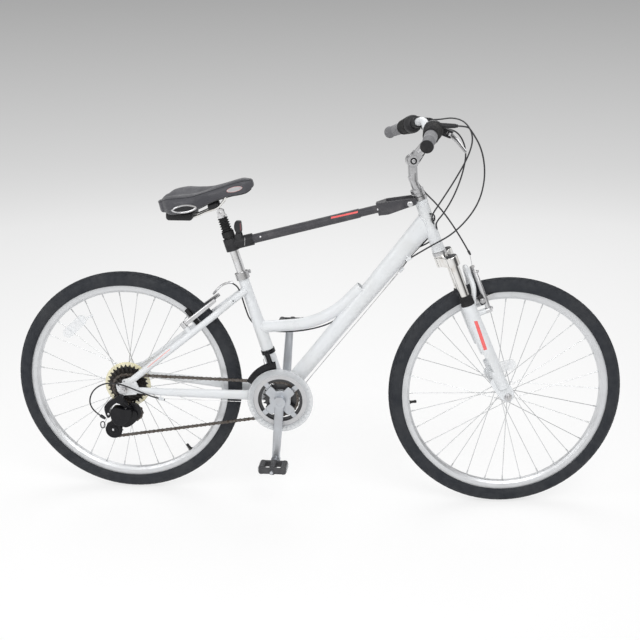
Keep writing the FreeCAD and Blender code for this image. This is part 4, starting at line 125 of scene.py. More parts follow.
class Surface:
    """One material: a principled shader with procedural colour, roughness and bump."""

    def __init__(self, name, color, metallic=0.0, roughness=0.5):
        self.material = bpy.data.materials.new(name)
        self.material.use_nodes = True
        self.tree = self.material.node_tree
        self.shader = self.tree.nodes["Principled BSDF"]
        self.coordinates = self.tree.nodes.new("ShaderNodeTexCoord").outputs["Object"]
        self.set("Base Color", (*color, 1.0))
        self.set("Metallic", metallic)
        self.set("Roughness", roughness)
        self.normal = None

    def set(self, socket, value):
        self.shader.inputs[socket].default_value = value
        return self

    def add(self, kind, **values):
        node = self.tree.nodes.new(kind)
        for name, value in values.items():
            setattr(node, name, value)
        return node

    def link(self, source, target):
        self.tree.links.new(source, target)

    def mapped(self, scale):
        node = self.add("ShaderNodeMapping")
        node.inputs["Scale"].default_value = scale
        self.link(self.coordinates, node.inputs["Vector"])
        return node.outputs["Vector"]

    def noise(self, scale, detail=4.0, vector=None):
        node = self.add("ShaderNodeTexNoise")
        node.inputs["Scale"].default_value = scale
        node.inputs["Detail"].default_value = detail
        self.link(vector or self.coordinates, node.inputs["Vector"])
        return node.outputs["Fac"]

    def cells(self, scale):
        node = self.add("ShaderNodeTexVoronoi", feature="F1")
        node.inputs["Scale"].default_value = scale
        self.link(self.coordinates, node.inputs["Vector"])
        return node.outputs["Distance"]

    def remap(self, value, low, high, to_low=0.0, to_high=1.0):
        node = self.add("ShaderNodeMapRange")
        for socket, number in zip(("From Min", "From Max", "To Min", "To Max"), (low, high, to_low, to_high)):
            node.inputs[socket].default_value = number
        self.link(value, node.inputs["Value"])
        return node.outputs["Result"]

    def math(self, operation, first, second=None):
        node = self.add("ShaderNodeMath", operation=operation)
        for socket, value in zip(node.inputs, (first, second)):
            if isinstance(value, (int, float)):
                socket.default_value = value
            elif value is not None:
                self.link(value, socket)
        return node.outputs["Value"]

    def radius_from(self, centre):
        """Distance of a point from a centre, for rings round a hub."""
        node = self.add("ShaderNodeVectorMath", operation="DISTANCE")
        self.link(self.coordinates, node.inputs[0])
        node.inputs[1].default_value = centre
        return node.outputs["Value"]

    def tint(self, share, color):
        """Mixes another colour over the base by a share."""
        node = self.add("ShaderNodeMix", data_type="RGBA")
        base = self.shader.inputs["Base Color"]
        if base.is_linked:
            self.link(base.links[0].from_socket, node.inputs[6])
        else:
            node.inputs[6].default_value = base.default_value
        node.inputs[7].default_value = (*color, 1.0)
        self.link(share, node.inputs[0])
        self.link(node.outputs[2], base)
        return self

    def rough(self, value, low, high, to_low, to_high):
        self.link(self.remap(value, low, high, to_low, to_high), self.shader.inputs["Roughness"])
        return self

    def mottle(self, scale, detail, low, high, share, color):
        """Tints the base in patches of noise, by up to a share."""
        return self.tint(self.remap(self.noise(scale, detail), low, high, 0.0, share), color)

    def uneven(self, scale, detail, smooth, dull):
        """Lets the roughness wander between two values."""
        return self.rough(self.noise(scale, detail), 0.3, 0.7, smooth, dull)

    def bump(self, height, distance, strength=1.0):
        node = self.add("ShaderNodeBump")
        node.inputs["Strength"].default_value = strength
        node.inputs["Distance"].default_value = distance
        self.link(height, node.inputs["Height"])
        if self.normal is not None:
            self.link(self.normal, node.inputs["Normal"])
        self.normal = node.outputs["Normal"]
        self.link(self.normal, self.shader.inputs["Normal"])
        return self


def shaded(color, share):
    return [value * share for value in color]


def paint(name, color, dirt):
    """Glossy paint with a slight orange peel, faint dirt and fine scuffs."""
    surface = Surface(name, color, roughness=0.3)
    surface.set("Coat Weight", 0.35).set("Coat Roughness", 0.12)
    surface.mottle(9.0, 6.0, 0.52, 0.78, 0.5, dirt)
    surface.mottle(260.0, 2.0, 0.72, 0.78, 0.35, dirt)
    surface.uneven(40.0, 5.0, 0.24, 0.42)
    surface.bump(surface.noise(700.0, 2.0), 0.00004)
    return surface.material


def polished(name, color, roughness, stain, grain_way):
    """Polished metal with drawn lines along one direction and a thin stain."""
    surface = Surface(name, color, metallic=1.0, roughness=roughness)
    grain = surface.noise(1.0, 3.0, surface.mapped(grain_way))
    surface.mottle(30.0, 5.0, 0.5, 0.75, 0.55, stain)
    surface.rough(grain, 0.3, 0.7, roughness * 0.88, roughness * 1.14)
    surface.bump(grain, 0.000005, 0.1)
    return surface.material


def spun(name, color, roughness, centre, rings):
    """Metal turned about a centre, with fine rings and slight stains."""
    surface = Surface(name, color, metallic=0.75, roughness=roughness)
    lines = surface.math("SINE", surface.math("MULTIPLY", surface.radius_from(centre), rings))
    surface.mottle(22.0, 5.0, 0.5, 0.8, 0.5, shaded(color, 0.72))
    surface.uneven(90.0, 4.0, roughness * 0.8, roughness * 1.25)
    surface.bump(lines, 0.00002, 0.5)
    return surface.material


def moulded(name, color, roughness, grain, height, worn):
    """Moulded plastic or rubber: pebbled grain, uneven sheen and worn paler places."""
    surface = Surface(name, color, roughness=roughness)
    surface.set("Specular IOR Level", 0.3)
    surface.mottle(35.0, 6.0, 0.48, 0.75, 0.6, worn)
    surface.uneven(60.0, 4.0, roughness * 0.82, min(1.0, roughness * 1.2))
    surface.bump(surface.cells(grain), height)
    return surface.material


def rubber_tyre(name, centre):
    """Tyre rubber with dust in the tread and fine rings on the walls."""
    surface = Surface(name, (0.019, 0.022, 0.028), roughness=0.8)
    radius = surface.radius_from(centre)
    wall = surface.remap(radius, wheel_radius - 0.014, wheel_radius - 0.006, 1.0, 0.0)
    lines = surface.math("MULTIPLY", surface.math("SINE", surface.math("MULTIPLY", radius, 3600.0)), wall)
    surface.mottle(14.0, 6.0, 0.45, 0.8, 0.55, (0.046, 0.047, 0.05))
    surface.mottle(420.0, 2.0, 0.66, 0.74, 0.4, (0.11, 0.1, 0.09))
    surface.uneven(50.0, 4.0, 0.66, 0.92)
    surface.bump(lines, 0.00012, 0.6)
    surface.bump(surface.noise(900.0, 3.0), 0.00006)
    return surface.material


def leather(name, color):
    """Saddle cover: fine pebble grain over a soft sheen, paler where it is rubbed."""
    surface = Surface(name, color, roughness=0.5)
    surface.set("Sheen Weight", 0.15)
    surface.mottle(18.0, 5.0, 0.45, 0.75, 0.5, shaded(color, 1.6))
    surface.uneven(45.0, 4.0, 0.4, 0.62)
    surface.bump(surface.cells(900.0), 0.00016)
    return surface.material


def clear_plastic(name, color, alpha):
    """Clear moulded plastic with a pebbled back, slightly scuffed."""
    surface = Surface(name, color, roughness=0.2)
    surface.set("Alpha", alpha).set("Coat Weight", 0.4)
    surface.mottle(30.0, 4.0, 0.45, 0.8, 0.4, shaded(color, 0.8))
    surface.uneven(80.0, 3.0, 0.14, 0.34)
    surface.bump(surface.cells(420.0), 0.0002)
    return surface.material


def rusty(name, steel, rust, share):
    """Oiled steel with brown patches."""
    surface = Surface(name, steel, metallic=0.75, roughness=0.45)
    patches = surface.noise(240.0, 5.0)
    surface.tint(surface.remap(patches, 0.62 - share * 0.3, 0.72), rust)
    surface.rough(patches, 0.35, 0.7, 0.32, 0.7)
    surface.bump(surface.noise(800.0, 3.0), 0.00008)
    return surface.material


white = paint("white_paint", (0.785, 0.805, 0.825), (0.64, 0.64, 0.62))
red = paint("red_stripe", (0.92, 0.15, 0.145), (0.75, 0.14, 0.13))
dark_red = paint("dark_red", (0.16, 0.05, 0.058), (0.24, 0.09, 0.09))
pale_red = paint("pale_red", (0.86, 0.44, 0.42), (0.8, 0.5, 0.48))
black_gloss = paint("black_paint", (0.022, 0.022, 0.025), (0.07, 0.067, 0.066))
carrier_black = moulded("carrier_black", (0.062, 0.061, 0.068), 0.42, 600.0, 0.00003, (0.12, 0.115, 0.12))
bright = polished("polished_metal", (0.82, 0.82, 0.83), 0.3, (0.62, 0.6, 0.57), (60, 60, 900))
satin = polished("satin_metal", (0.58, 0.58, 0.59), 0.34, (0.5, 0.49, 0.48), (40, 40, 200))
chrome = polished("stanchion_chrome", (0.8, 0.79, 0.77), 0.1, (0.5, 0.42, 0.34), (500, 500, 30))
steel = polished("bare_steel", (0.62, 0.62, 0.63), 0.3, (0.42, 0.39, 0.36), (300, 300, 300))
spoke_steel = polished("spoke_steel", (0.7, 0.71, 0.72), 0.28, (0.5, 0.49, 0.47), (200, 200, 200))
cast = polished("cast_alloy", (0.66, 0.66, 0.67), 0.34, (0.45, 0.44, 0.42), (350, 350, 350))
rear_rim_metal = spun("rear_rim_metal", (0.72, 0.73, 0.745), 0.4, rear_hub, 9000.0)
front_rim_metal = spun("front_rim_metal", (0.72, 0.73, 0.745), 0.4, front_hub, 9000.0)
crank_metal = polished("crank_metal", (0.57, 0.59, 0.62), 0.42, (0.46, 0.46, 0.47), (250, 40, 40))
ring_metal = spun("ring_metal", (0.6, 0.6, 0.61), 0.38, place_of("crank_spin"), 5000.0)
# Painted light: the grips' own dark grey rubber is lifted to mid-grey, standing in for the light on the
# grips.
grip_rubber = moulded("grip_rubber", (0.2, 0.2, 0.21), 0.6, 1200.0, 0.00008, (0.27, 0.27, 0.275))
grip_grey = moulded("grip_grey", (0.34, 0.34, 0.35), 0.55, 1200.0, 0.00005, (0.4, 0.4, 0.405))
badge_grey = moulded("badge_grey", (0.46, 0.46, 0.47), 0.4, 900.0, 0.00003, (0.36, 0.36, 0.37))
seam_thread = moulded("seam_thread", (0.03, 0.03, 0.034), 0.7, 2200.0, 0.00012, (0.07, 0.07, 0.075))
mech_black = moulded("mech_black", (0.005, 0.005, 0.007), 0.3, 700.0, 0.00004, (0.018, 0.018, 0.02))
pedal_grey = moulded("pedal_grey", (0.06, 0.06, 0.064), 0.36, 900.0, 0.00005, (0.11, 0.11, 0.112))
black_plastic = moulded("black_plastic", (0.024, 0.024, 0.026), 0.5, 900.0, 0.00006, (0.05, 0.05, 0.052))
black_rubber = moulded("black_rubber", (0.02, 0.02, 0.021), 0.72, 1200.0, 0.00008, (0.05, 0.048, 0.046))
housing_black = moulded("cable_housing", (0.034, 0.034, 0.037), 0.42, 700.0, 0.00003, (0.05, 0.05, 0.05))
front_rubber = rubber_tyre("front_tyre_rubber", front_hub)
rear_rubber = rubber_tyre("rear_tyre_rubber", rear_hub)
skin = leather("saddle_skin", (0.055, 0.055, 0.064))
chain_steel = rusty("chain_steel", (0.16, 0.15, 0.14), (0.07, 0.045, 0.03), 0.8)
cog_steel = rusty("cog_steel", (0.06, 0.057, 0.055), (0.05, 0.032, 0.022), 0.3)
clear_yellow = clear_plastic("clear_yellow", (0.93, 0.86, 0.52), 0.5)
clear_grey = clear_plastic("clear_grey", (0.72, 0.74, 0.76), 0.5)
reflector_clear = clear_plastic("reflector_clear", (0.86, 0.88, 0.9), 0.4)


# Mesh helpers

sharp_angle = math.radians(38)


def as_object(name, points, faces, material, smooth=True):
    mesh = bpy.data.meshes.new(name)
    mesh.from_pydata([tuple(point) for point in points], [], faces)
    mesh.validate()
    mesh.materials.append(material)
    mesh.polygons.foreach_set("use_smooth", [smooth] * len(mesh.polygons))
    mesh.update()
    if smooth:
        mesh.set_sharp_from_angle(angle=sharp_angle)
    piece = bpy.data.objects.new(name, mesh)
    bpy.context.scene.collection.objects.link(piece)
    return piece


def settle(piece, body, slot, *replaced):
    """Lets a piece ride on a body and hides the nodes that it stands for. Its slot is not used."""
    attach(piece, body)
    if replaced:
        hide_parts(*replaced)
    return piece


def ring_axes(way):
    way = Vector(way).normalized()
    first = way.orthogonal().normalized()
    return way, first, way.cross(first)


def grid(rows, columns, loop_rows=False, loop_columns=True):
    """Faces of a grid of points, counted row by row. A loop joins the last row or column to the first."""
    faces = []
    for row in range(rows if loop_rows else rows - 1):
        here, there = row * columns, (row + 1) % rows * columns
        for column in range(columns if loop_columns else columns - 1):
            after = (column + 1) % columns
            faces.append((here + column, here + after, there + after, there + column))
    return faces


def lofted(name, rings, material, loop=False, flipped=False, smooth=True):
    """Surface through rings of points. It runs on to the first ring again, or else its ends are closed."""
    count = len(rings[0])
    faces = grid(len(rings), count, loop)
    if not loop:
        last = (len(rings) - 1) * count
        faces += [tuple(reversed(range(count))), tuple(range(last, last + count))]
    if flipped:
        faces = [face[::-1] for face in faces]
    return as_object(name, [point for ring in rings for point in ring], faces, material, smooth)


def round_ring(place, first, second, radius, sides):
    """Points round a place, in the plane of two directions."""
    angles = [2 * math.pi * turn / sides for turn in range(sides)]
    return [place + (first * math.cos(angle) + second * math.sin(angle)) * radius for angle in angles]


def lathe(name, profile, base, way, steps, material, closed=False):
    """Turns (radius, height) points in millimetres about an axis. A closed profile has no ends."""
    way, first, second = ring_axes(way)
    rings = []
    for radius, height in profile:
        rings.append(round_ring(base + way * (height / 1000), first, second, radius / 1000, steps))
    return lofted(name, rings, material, closed)


def nurbs_line(points):
    """Points along a smooth spline whose control points are a cable's route."""
    curve = bpy.data.curves.new("route", "CURVE")
    curve.dimensions = "3D"
    curve.resolution_u = 8
    spline = curve.splines.new("NURBS")
    spline.points.add(len(points) - 1)
    for target, point in zip(spline.points, points):
        target.co = (*point, 1.0)
    spline.order_u = 3
    spline.use_endpoint_u = True
    holder = bpy.data.objects.new("route", curve)
    bpy.context.scene.collection.objects.link(holder)
    line = bpy.data.meshes.new_from_object(holder.evaluated_get(bpy.context.evaluated_depsgraph_get()))
    result = [vertex.co.copy() for vertex in line.vertices]
    bpy.data.objects.remove(holder)
    bpy.data.curves.remove(curve)
    bpy.data.meshes.remove(line)
    return result


def ways_along(line):
    """Direction of a line at each of its points."""
    return [(after - before).normalized() for before, after in zip(line[:1] + line, line[1:] + line[-1:])]


def tube(name, line, radius, sides, material):
    """Round tube along a line of points, with its ends closed."""
    rings = []
    first = None
    for place, way in zip(line, ways_along(line)):
        first = way.orthogonal() if first is None else first - way * first.dot(way)
        first.normalize()
        rings.append(round_ring(place, first, way.cross(first), radius, sides))
    return lofted(name, rings, material)


def round_about(loop):
    """Each point of a closed loop with the one before it and the one after it."""
    return zip(loop[-1:] + loop, loop, loop[1:] + loop[:1])


def ring_tube(name, loop, radii, sides, material):
    """Closed round tube along a loop of points, with a radius at each."""
    middle = sum(loop, Vector()) / len(loop)
    rings = []
    for (before, place, after), radius in zip(round_about(loop), radii):
        way = (after - before).normalized()
        out = place - middle
        first = (out - way * out.dot(way)).normalized()
        rings.append(round_ring(place, first, way.cross(first), radius, sides))
    return lofted(name, rings, material, loop=True)


def world_points(piece):
    return [piece.matrix_world @ vertex.co for vertex in piece.data.vertices]


def merged(pieces):
    """Points and faces of several pieces together."""
    points = []
    faces = []
    for piece in pieces:
        start = len(points)
        points += world_points(piece)
        faces += [[start + number for number in face.vertices] for face in piece.data.polygons]
    return points, faces


def tree_of(*pieces):
    """Surfaces to look at or lay things on."""
    return BVHTree.FromPolygons(*merged(pieces))


def joined(pieces, name):
    """One piece from several."""
    points, faces = merged(pieces)
    material = pieces[0].data.materials[0]
    smooth = pieces[0].data.polygons[0].use_smooth
    for piece in pieces:
        mesh = piece.data
        bpy.data.objects.remove(piece)
        bpy.data.meshes.remove(mesh)
    return as_object(name, points, faces, material, smooth)


def both_sides(piece, name, place, normal):
    """One piece from a piece and its mirror image in a plane."""
    points = [point - normal * (2 * (point - place).dot(normal)) for point in world_points(piece)]
    faces = [list(reversed(face.vertices)) for face in piece.data.polygons]
    smooth = piece.data.polygons[0].use_smooth
    return joined([piece, as_object("other_side", points, faces, piece.data.materials[0], smooth)], name)


def seen_on(tree, u, v, lift=0.0):
    """Where a pixel's line of sight meets a surface, raised by a small lift, and the surface's normal."""
    place, normal, _, _ = tree.ray_cast(camera_place, sight(u, v))
    if place is None:
        raise ValueError(f"pixel {u}, {v} misses the surface")
    if normal.dot(sight(u, v)) > 0:
        normal = -normal
    return place + normal * lift, normal


def solids_of(node):
    """Polygon numbers and box size of each separate solid of a node."""
    mesh = nodes[node].data
    points = world_points(nodes[node])
    first_at = {}
    lead = []
    for number, point in enumerate(points):
        lead.append(first_at.setdefault(tuple(round(value, 6) for value in point), number))

    def root(number):
        while lead[number] != number:
            lead[number] = lead[lead[number]]
            number = lead[number]
        return number

    for face in mesh.polygons:
        home = root(face.vertices[0])
        for number in face.vertices[1:]:
            lead[root(number)] = home
    groups = {}
    for face in mesh.polygons:
        groups.setdefault(root(face.vertices[0]), []).append(face.index)
    solids = []
    for faces in groups.values():
        used = [points[number] for index in faces for number in mesh.polygons[index].vertices]
        solids.append((faces, Vector([max(values) - min(values) for values in zip(*used)])))
    return solids


def finish_within(node, low, high, material):
    """Gives the faces of a node that lie in a box (row frame, millimetres) their own material."""
    mesh = nodes[node].data
    mesh.materials.append(material)
    box = [(least / 1000 - box_slack, most / 1000 + box_slack) for least, most in zip(low, high)]
    inside = []
    for point in world_points(nodes[node]):
        inside.append(all(least <= value <= most for value, (least, most) in zip(point, box)))
    for face in mesh.polygons:
        if all(inside[number] for number in face.vertices):
            face.material_index = len(mesh.materials) - 1


def rounded(outline):
    """Cuts the corners of a closed outline twice, until it is smooth."""
    for _ in range(2):
        cut = []
        for here, there in zip(outline, outline[1:] + outline[:1]):
            cut += [here.lerp(there, 0.25), here.lerp(there, 0.75)]
        outline = cut
    return outline


def seen_outline(pixels, place, normal):
    """Smooth outline in a plane, from pixels of the photograph taken round it."""
    return rounded([seen_on_plane(*pixel, place, normal) for pixel in pixels])


def plate(name, outline, depth, bevel, material):
    """Plate with bevelled edges: an outline in one plane, carried back by a depth vector."""
    middle = sum(outline, Vector()) / len(outline)
    lip = depth.normalized() * bevel
    face = [point + (middle - point).normalized() * bevel for point in outline]
    rings = [
        face, [point + lip for point in outline], [point + depth - lip for point in outline],
        [point + depth for point in face],
    ]
    return lofted(name, rings, material, flipped=True, smooth=False)


def pillow(name, centre, half, radius, axes, material):
    """Box with round edges and corners."""
    rings = []
    for row in range(pillow_steps // 2 + 1):
        tilt = math.pi * (row / (pillow_steps // 2) - 0.5)
        ring = []
        for turn in range(pillow_steps):
            angle = 2 * math.pi * (turn + 0.5) / pillow_steps
            out = (math.cos(tilt) * math.cos(angle), math.cos(tilt) * math.sin(angle), math.sin(tilt))
            point = centre.copy()
            for axis, way, size in zip(axes, out, half):
                sign = 0.0 if abs(way) < 1e-6 else math.copysign(1.0, way)
                point += axis * (sign * (size - radius) + way * radius)
            ring.append(point)
        rings.append(ring)
    return lofted(name, rings, material)


def decal(name, tree, corners, across, along, material):
    """Painted patch on a surface, between four pixels of the photograph taken round it."""
    first, second, third, fourth = [Vector(corner) for corner in corners]
    points = []
    for row in range(along + 1):
        left, right = first.lerp(fourth, row / along), second.lerp(third, row / along)
        for column in range(across + 1):
            points.append(seen_on(tree, *left.lerp(right, column / across), paint_lift)[0])
    faces = [face[::-1] for face in grid(along + 1, across + 1, loop_columns=False)]
    return as_object(name, points, faces, material)


def rivet(name, tree, pixel, radius, steps, material, slot):
    """Low round head on a surface of the frame, where a pixel of the photograph sees it."""
    place, normal = seen_on(tree, *pixel)
    shape = [(out * radius, up * radius) for out, up in rivet_shape]
    settle(lathe(name, shape, place, normal, steps, material), "frame", slot)


def weld(name, tube_node, onto_node, side=0):
    """Rippled bead round a tube's end, where it meets another piece of the frame."""
    tree = tree_of(nodes[onto_node])
    points = [point for point in world_points(nodes[tube_node]) if point.y * side >= 0]
    near = [point for point in points if tree.find_nearest(point, weld_reach)[0] is not None]
    middle = sum(near, Vector()) / len(near)
    _, first, second = ring_axes(sum(points, Vector()) / len(points) - middle)
    outer = {}
    for point in near:
        x, y = (point - middle).dot(first), (point - middle).dot(second)
        turn = round(math.atan2(y, x) / (2 * math.pi) * weld_steps) % weld_steps
        if turn not in outer or math.hypot(x, y) > outer[turn][0]:
            outer[turn] = (math.hypot(x, y), point)
    limit = weld_inner_share * sorted(reach for reach, _ in outer.values())[len(outer) // 2]
    loop = [outer[turn][1] for turn in sorted(outer) if outer[turn][0] > limit]
    for _ in range(2):
        loop = [(before + here * 2 + after) / 4 for before, here, after in round_about(loop)]
    fine = [here.lerp(there, share / 4) for _, here, there in round_about(loop) for share in range(4)]
    ripples = [weld_ripple_share * math.sin(index * weld_ripple_turn) for index in range(len(fine))]
    radii = [weld_radius * (1 + ripple) for ripple in ripples]
    settle(ring_tube(name, fine, radii, 10, white), "frame", "white_paint")


bike_axes = (FORWARD, SIDE, UP)
pillow_steps = 32
paint_lift = 0.0003
box_slack = 0.0003
weld_reach = 0.0008
weld_radius = 0.0024
weld_steps = 40
weld_inner_share = 0.72
weld_ripple_share = 0.12
weld_ripple_turn = 1.6
# Radius and height of a rivet's head, as shares of its radius.
rivet_shape = ((1.0, -0.3), (1.0, 0.12), (0.82, 0.3), (0.5, 0.42), (0.04, 0.46))


# Finish of the nodes that stay

for material, names in (
    (white, (
        "head_tube", "down_tube", "top_tube", "seat_tube", "bottom_bracket_shell", "chain_stays",
        "seat_stays", "fork_lowers", "handlebar",
    )),
    (satin, ("headset_cups", "seat_clamp", "stem_quill", "stem_extension")),
    (steel, ("rear_axle", "front_axle")), (carrier_black, ("carrier_bar",)),
    (black_plastic, ("carrier_clamp", "control_mounts", "guide_pulley", "tension_pulley")),
    (mech_black, ("front_mech", "rear_mech_body", "rear_mech_cage")), (chain_steel, ("chain",)),
    (bright, ("seatpost", "seatpost_piston")), (chrome, ("fork_crown", "stanchions")),
    (black_rubber, ("twist_grip_right", "twist_grip_left", "fork_wipers")),
    (cast, (
        "front_brake_arm_right", "front_brake_arm_left", "rear_brake_arm_right", "rear_brake_arm_left",
        "front_hub", "rear_hub",
    )),
    (front_rim_metal, ("front_rim",)), (rear_rim_metal, ("rear_rim",)),
    (spoke_steel, ("front_spokes", "rear_spokes")), (clear_yellow, ("spoke_guard",)),
    (cog_steel, ("freewheel",)), (crank_metal, ("crank_arms",)), (ring_metal, ("chainrings",)),
    (clear_grey, ("chain_guard",)),
):
    for name in names:
        nodes[name].data.materials.clear()
        nodes[name].data.materials.append(material)


# Tyres: walls and a tread of small blocks, made over the casing's section

bead_radius = wheel_radius - 0.037
bead_half = 0.0105
wall_half = 0.0225
wall_points = 9
wall_start = math.radians(-62)
wall_end = math.radians(56)
wall_turn_share = 0.86
wall_power = 0.8
tread_half = 0.0176
tread_edge = wheel_radius - 0.0085
tread_depth = 0.0022
tread_points = 26
tread_pitches = 96
steps_per_pitch = 8


def arc_height(y):
    """Radius of the tread's crown at a place across it."""
    return wheel_radius - (wheel_radius - tread_edge) * (y / tread_half) ** 2


def tread_drop(across, around):
    """How deep the tread is cut at a share across it, from -1 to 1, and a share of one pitch."""
    side = abs(across)
    if side < 0.16:
        return 0.25 if (around + 0.5) % 1 < 0.12 else 0.0
    if side < 0.24 or 0.58 < side < 0.66:
        return 1.0
    lean = (around + side * 0.9) % 1
    return 1.0 if lean < 0.22 else 0.0


def tyre(name, hub, axle_way, material, body):
    way, first, second = ring_axes(axle_way)
    wall = []
    for index in range(wall_points):
        angle = wall_start + (wall_end - wall_start) * index / wall_points
        rise = (math.sin(angle) - math.sin(wall_start)) / (math.sin(wall_end) - math.sin(wall_start))
        half = bead_half + (wall_half - bead_half) * math.cos(angle * wall_turn_share) ** wall_power
        wall.append((bead_radius + (tread_edge - bead_radius) * rise, half, None))
    profile = [(radius, -y, None) for radius, y, _ in wall]
    for index in range(tread_points + 1):
        across = 2 * index / tread_points - 1
        profile.append((arc_height(across * tread_half), across * tread_half, across))
    profile += reversed(wall)
    rings = []
    steps = tread_pitches * steps_per_pitch
    for turn in range(steps):
        angle = 2 * math.pi * turn / steps
        out = first * math.cos(angle) + second * math.sin(angle)
        around = turn % steps_per_pitch / steps_per_pitch
        ring = []
        for radius, y, across in profile:
            if across is not None and abs(across) < 0.999:
                radius -= tread_depth * tread_drop(across, around)
            ring.append(hub + out * radius + way * y)
        rings.append(ring)
    settle(lofted(name, rings, material, loop=True), body, "tyre_rubber", name.replace("_rubber", ""))


tyre("front_tyre_rubber", front_hub, front_axle_way, front_rubber, "front_wheel")
tyre("rear_tyre_rubber", rear_hub, SIDE, rear_rubber, "rear_wheel")


# Parts of nodes that have a finish of their own

reflector_span = 0.13
reflector_least = 0.005

for node, low, high, material in (
    ("seat_clamp", (-220, 20, 634), (-203, 31, 649), black_plastic),
    ("seat_clamp", (-196, 20, 642), (-179, 31, 657), steel),
    ("seatpost", (-255, -17, 750), (-218, 17, 774), black_rubber),
    ("carrier_bar", (246, -34, 850), (263, -30, 867), cast),
    ("carrier_bar", (246, 30, 850), (263, 34, 867), cast),
    ("stanchions", (360, -63, 718), (382, -41, 728), black_plastic),
    ("stanchions", (347, 46, 713), (369, 68, 723), black_plastic),
    ("front_brake_arm_right", (438, -18, 581), (495, -2, 611), black_rubber),
    ("front_brake_arm_left", (433, 20, 579), (490, 36, 610), black_rubber),
    ("rear_brake_arm_right", (-362, -24, 501), (-318, -14, 552), black_rubber),
    ("rear_brake_arm_left", (-362, 14, 501), (-318, 24, 552), black_rubber),
    ("chainrings", (-300, -51, 100), (100, -40, 500), black_gloss),
):
    finish_within(node, low, high, material)
for node in ("front_spokes", "rear_spokes"):
    mesh = nodes[node].data
    mesh.materials.append(reflector_clear)
    for faces, size in solids_of(node):
        if size.length < reflector_span and min(size) > reflector_least:
            for index in faces:
                mesh.polygons[index].material_index = len(mesh.materials) - 1


# Saddle: a padded cover with two wings, a channel between them, seams and trim

saddle_turn = math.radians(14)
saddle_x = Vector((math.cos(saddle_turn), 0, math.sin(saddle_turn)))
saddle_z = Vector((-math.sin(saddle_turn), 0, math.cos(saddle_turn)))
saddle_base = saddle_pivot + Vector((-0.015, 0, 0.0135))
saddle_length = 0.236
saddle_back = -0.122
saddle_half = 0.097
saddle_depth = 0.062
# Along the saddle, as shares of its length, half width and depth: place, width, underside, top.
saddle_sections = (
    (0.0, 0.66, 0.40, 0.97), (0.07, 0.88, 0.29, 1.06), (0.2, 1.0, 0.24, 1.03), (0.36, 0.84, 0.22, 0.91),
    (0.54, 0.47, 0.33, 0.89), (0.74, 0.29, 0.36, 0.92), (0.92, 0.235, 0.34, 0.95), (1.0, 0.14, 0.46, 0.86),
)
# Half of a section, from the middle of the underside round to the middle of the top, as shares of half width
# and of height.
wing_shape = (
    (0, 0), (0.45, 0), (0.84, 0), (0.955, 0.1), (1.0, 0.36), (0.985, 0.64), (0.9, 0.88), (0.7, 1.0),
    (0.45, 0.90), (0.2, 0.72), (0, 0.66),
)
nose_shape = (
    (0, 0), (0.45, 0), (0.84, 0), (0.96, 0.12), (1.0, 0.38), (0.96, 0.64), (0.82, 0.84), (0.6, 0.95),
    (0.38, 0.99), (0.16, 1.0), (0, 1.0),
)
seam_index = 6
seam_radius = 0.0007
ring_splits = 3
cover_steps = 72
dome_steps = 10
dome_least_share = 0.05
tail_bulge = 0.02
nose_bulge = 0.007
lobe_depth = 0.005


def smooth_step(low, high, value):
    share = min(1.0, max(0.0, (value - low) / (high - low)))
    return share * share * (3 - 2 * share)


def through(knots, values, place):
    """Smooth curve through values at knots."""
    index = max(0, min(len(knots) - 2, sum(1 for knot in knots[1:-1] if place >= knot)))
    low, high = knots[index], knots[index + 1]
    share = (place - low) / (high - low)

    def slope(number):
        before, after = max(0, number - 1), min(len(knots) - 1, number + 1)
        return (values[after] - values[before]) / (knots[after] - knots[before])

    start, end = slope(index) * (high - low), slope(index + 1) * (high - low)
    square, cube = share * share, share ** 3
    return (
        values[index] * (2 * cube - 3 * square + 1) + start * (cube - 2 * square + share)
        + values[index + 1] * (3 * square - 2 * cube) + end * (cube - square)
    )


def saddle_sizes(share, *parts):
    """Sizes of the saddle at a place along it."""
    knots = [section[0] for section in saddle_sections]
    return [through(knots, [section[part] for section in saddle_sections], share) for part in parts]


def saddle_point(x, y, z):
    return saddle_base + saddle_x * x + SIDE * y + saddle_z * z


def saddle_ring(share, shrink=1.0, push=0.0):
    """One section of the cover, as points round it from under the middle. Ends shrink to their middle."""
    width, low, high = saddle_sizes(share, 1, 2, 3)
    nose = smooth_step(0.36, 0.62, share)
    half = []
    for wing, tip in zip(wing_shape, nose_shape):
        across, up = (start + (end - start) * nose for start, end in zip(wing, tip))
        half.append((across * width * saddle_half, (low + (high - low) * up) * saddle_depth))
    middle = (low + high) / 2 * saddle_depth
    fine = []
    for step in range(ring_splits * (len(half) - 1) + 1):
        place = step / ring_splits
        fine.append([through(range(len(half)), [point[axis] for point in half], place) for axis in (0, 1)])
    ring = []
    for sign, points in ((-1, fine), (1, fine[-2:0:-1])):
        for y, z in points:
            lobe = math.exp(-((abs(y) / saddle_half / max(width, 0.3) - 0.6) / 0.3) ** 2)
            x = saddle_back + saddle_length * share + push
            x -= lobe_depth * lobe * (1 - smooth_step(0.0, 0.22, share))
            ring.append(saddle_point(x, sign * y * shrink, middle + (z - middle) * shrink))
    return ring


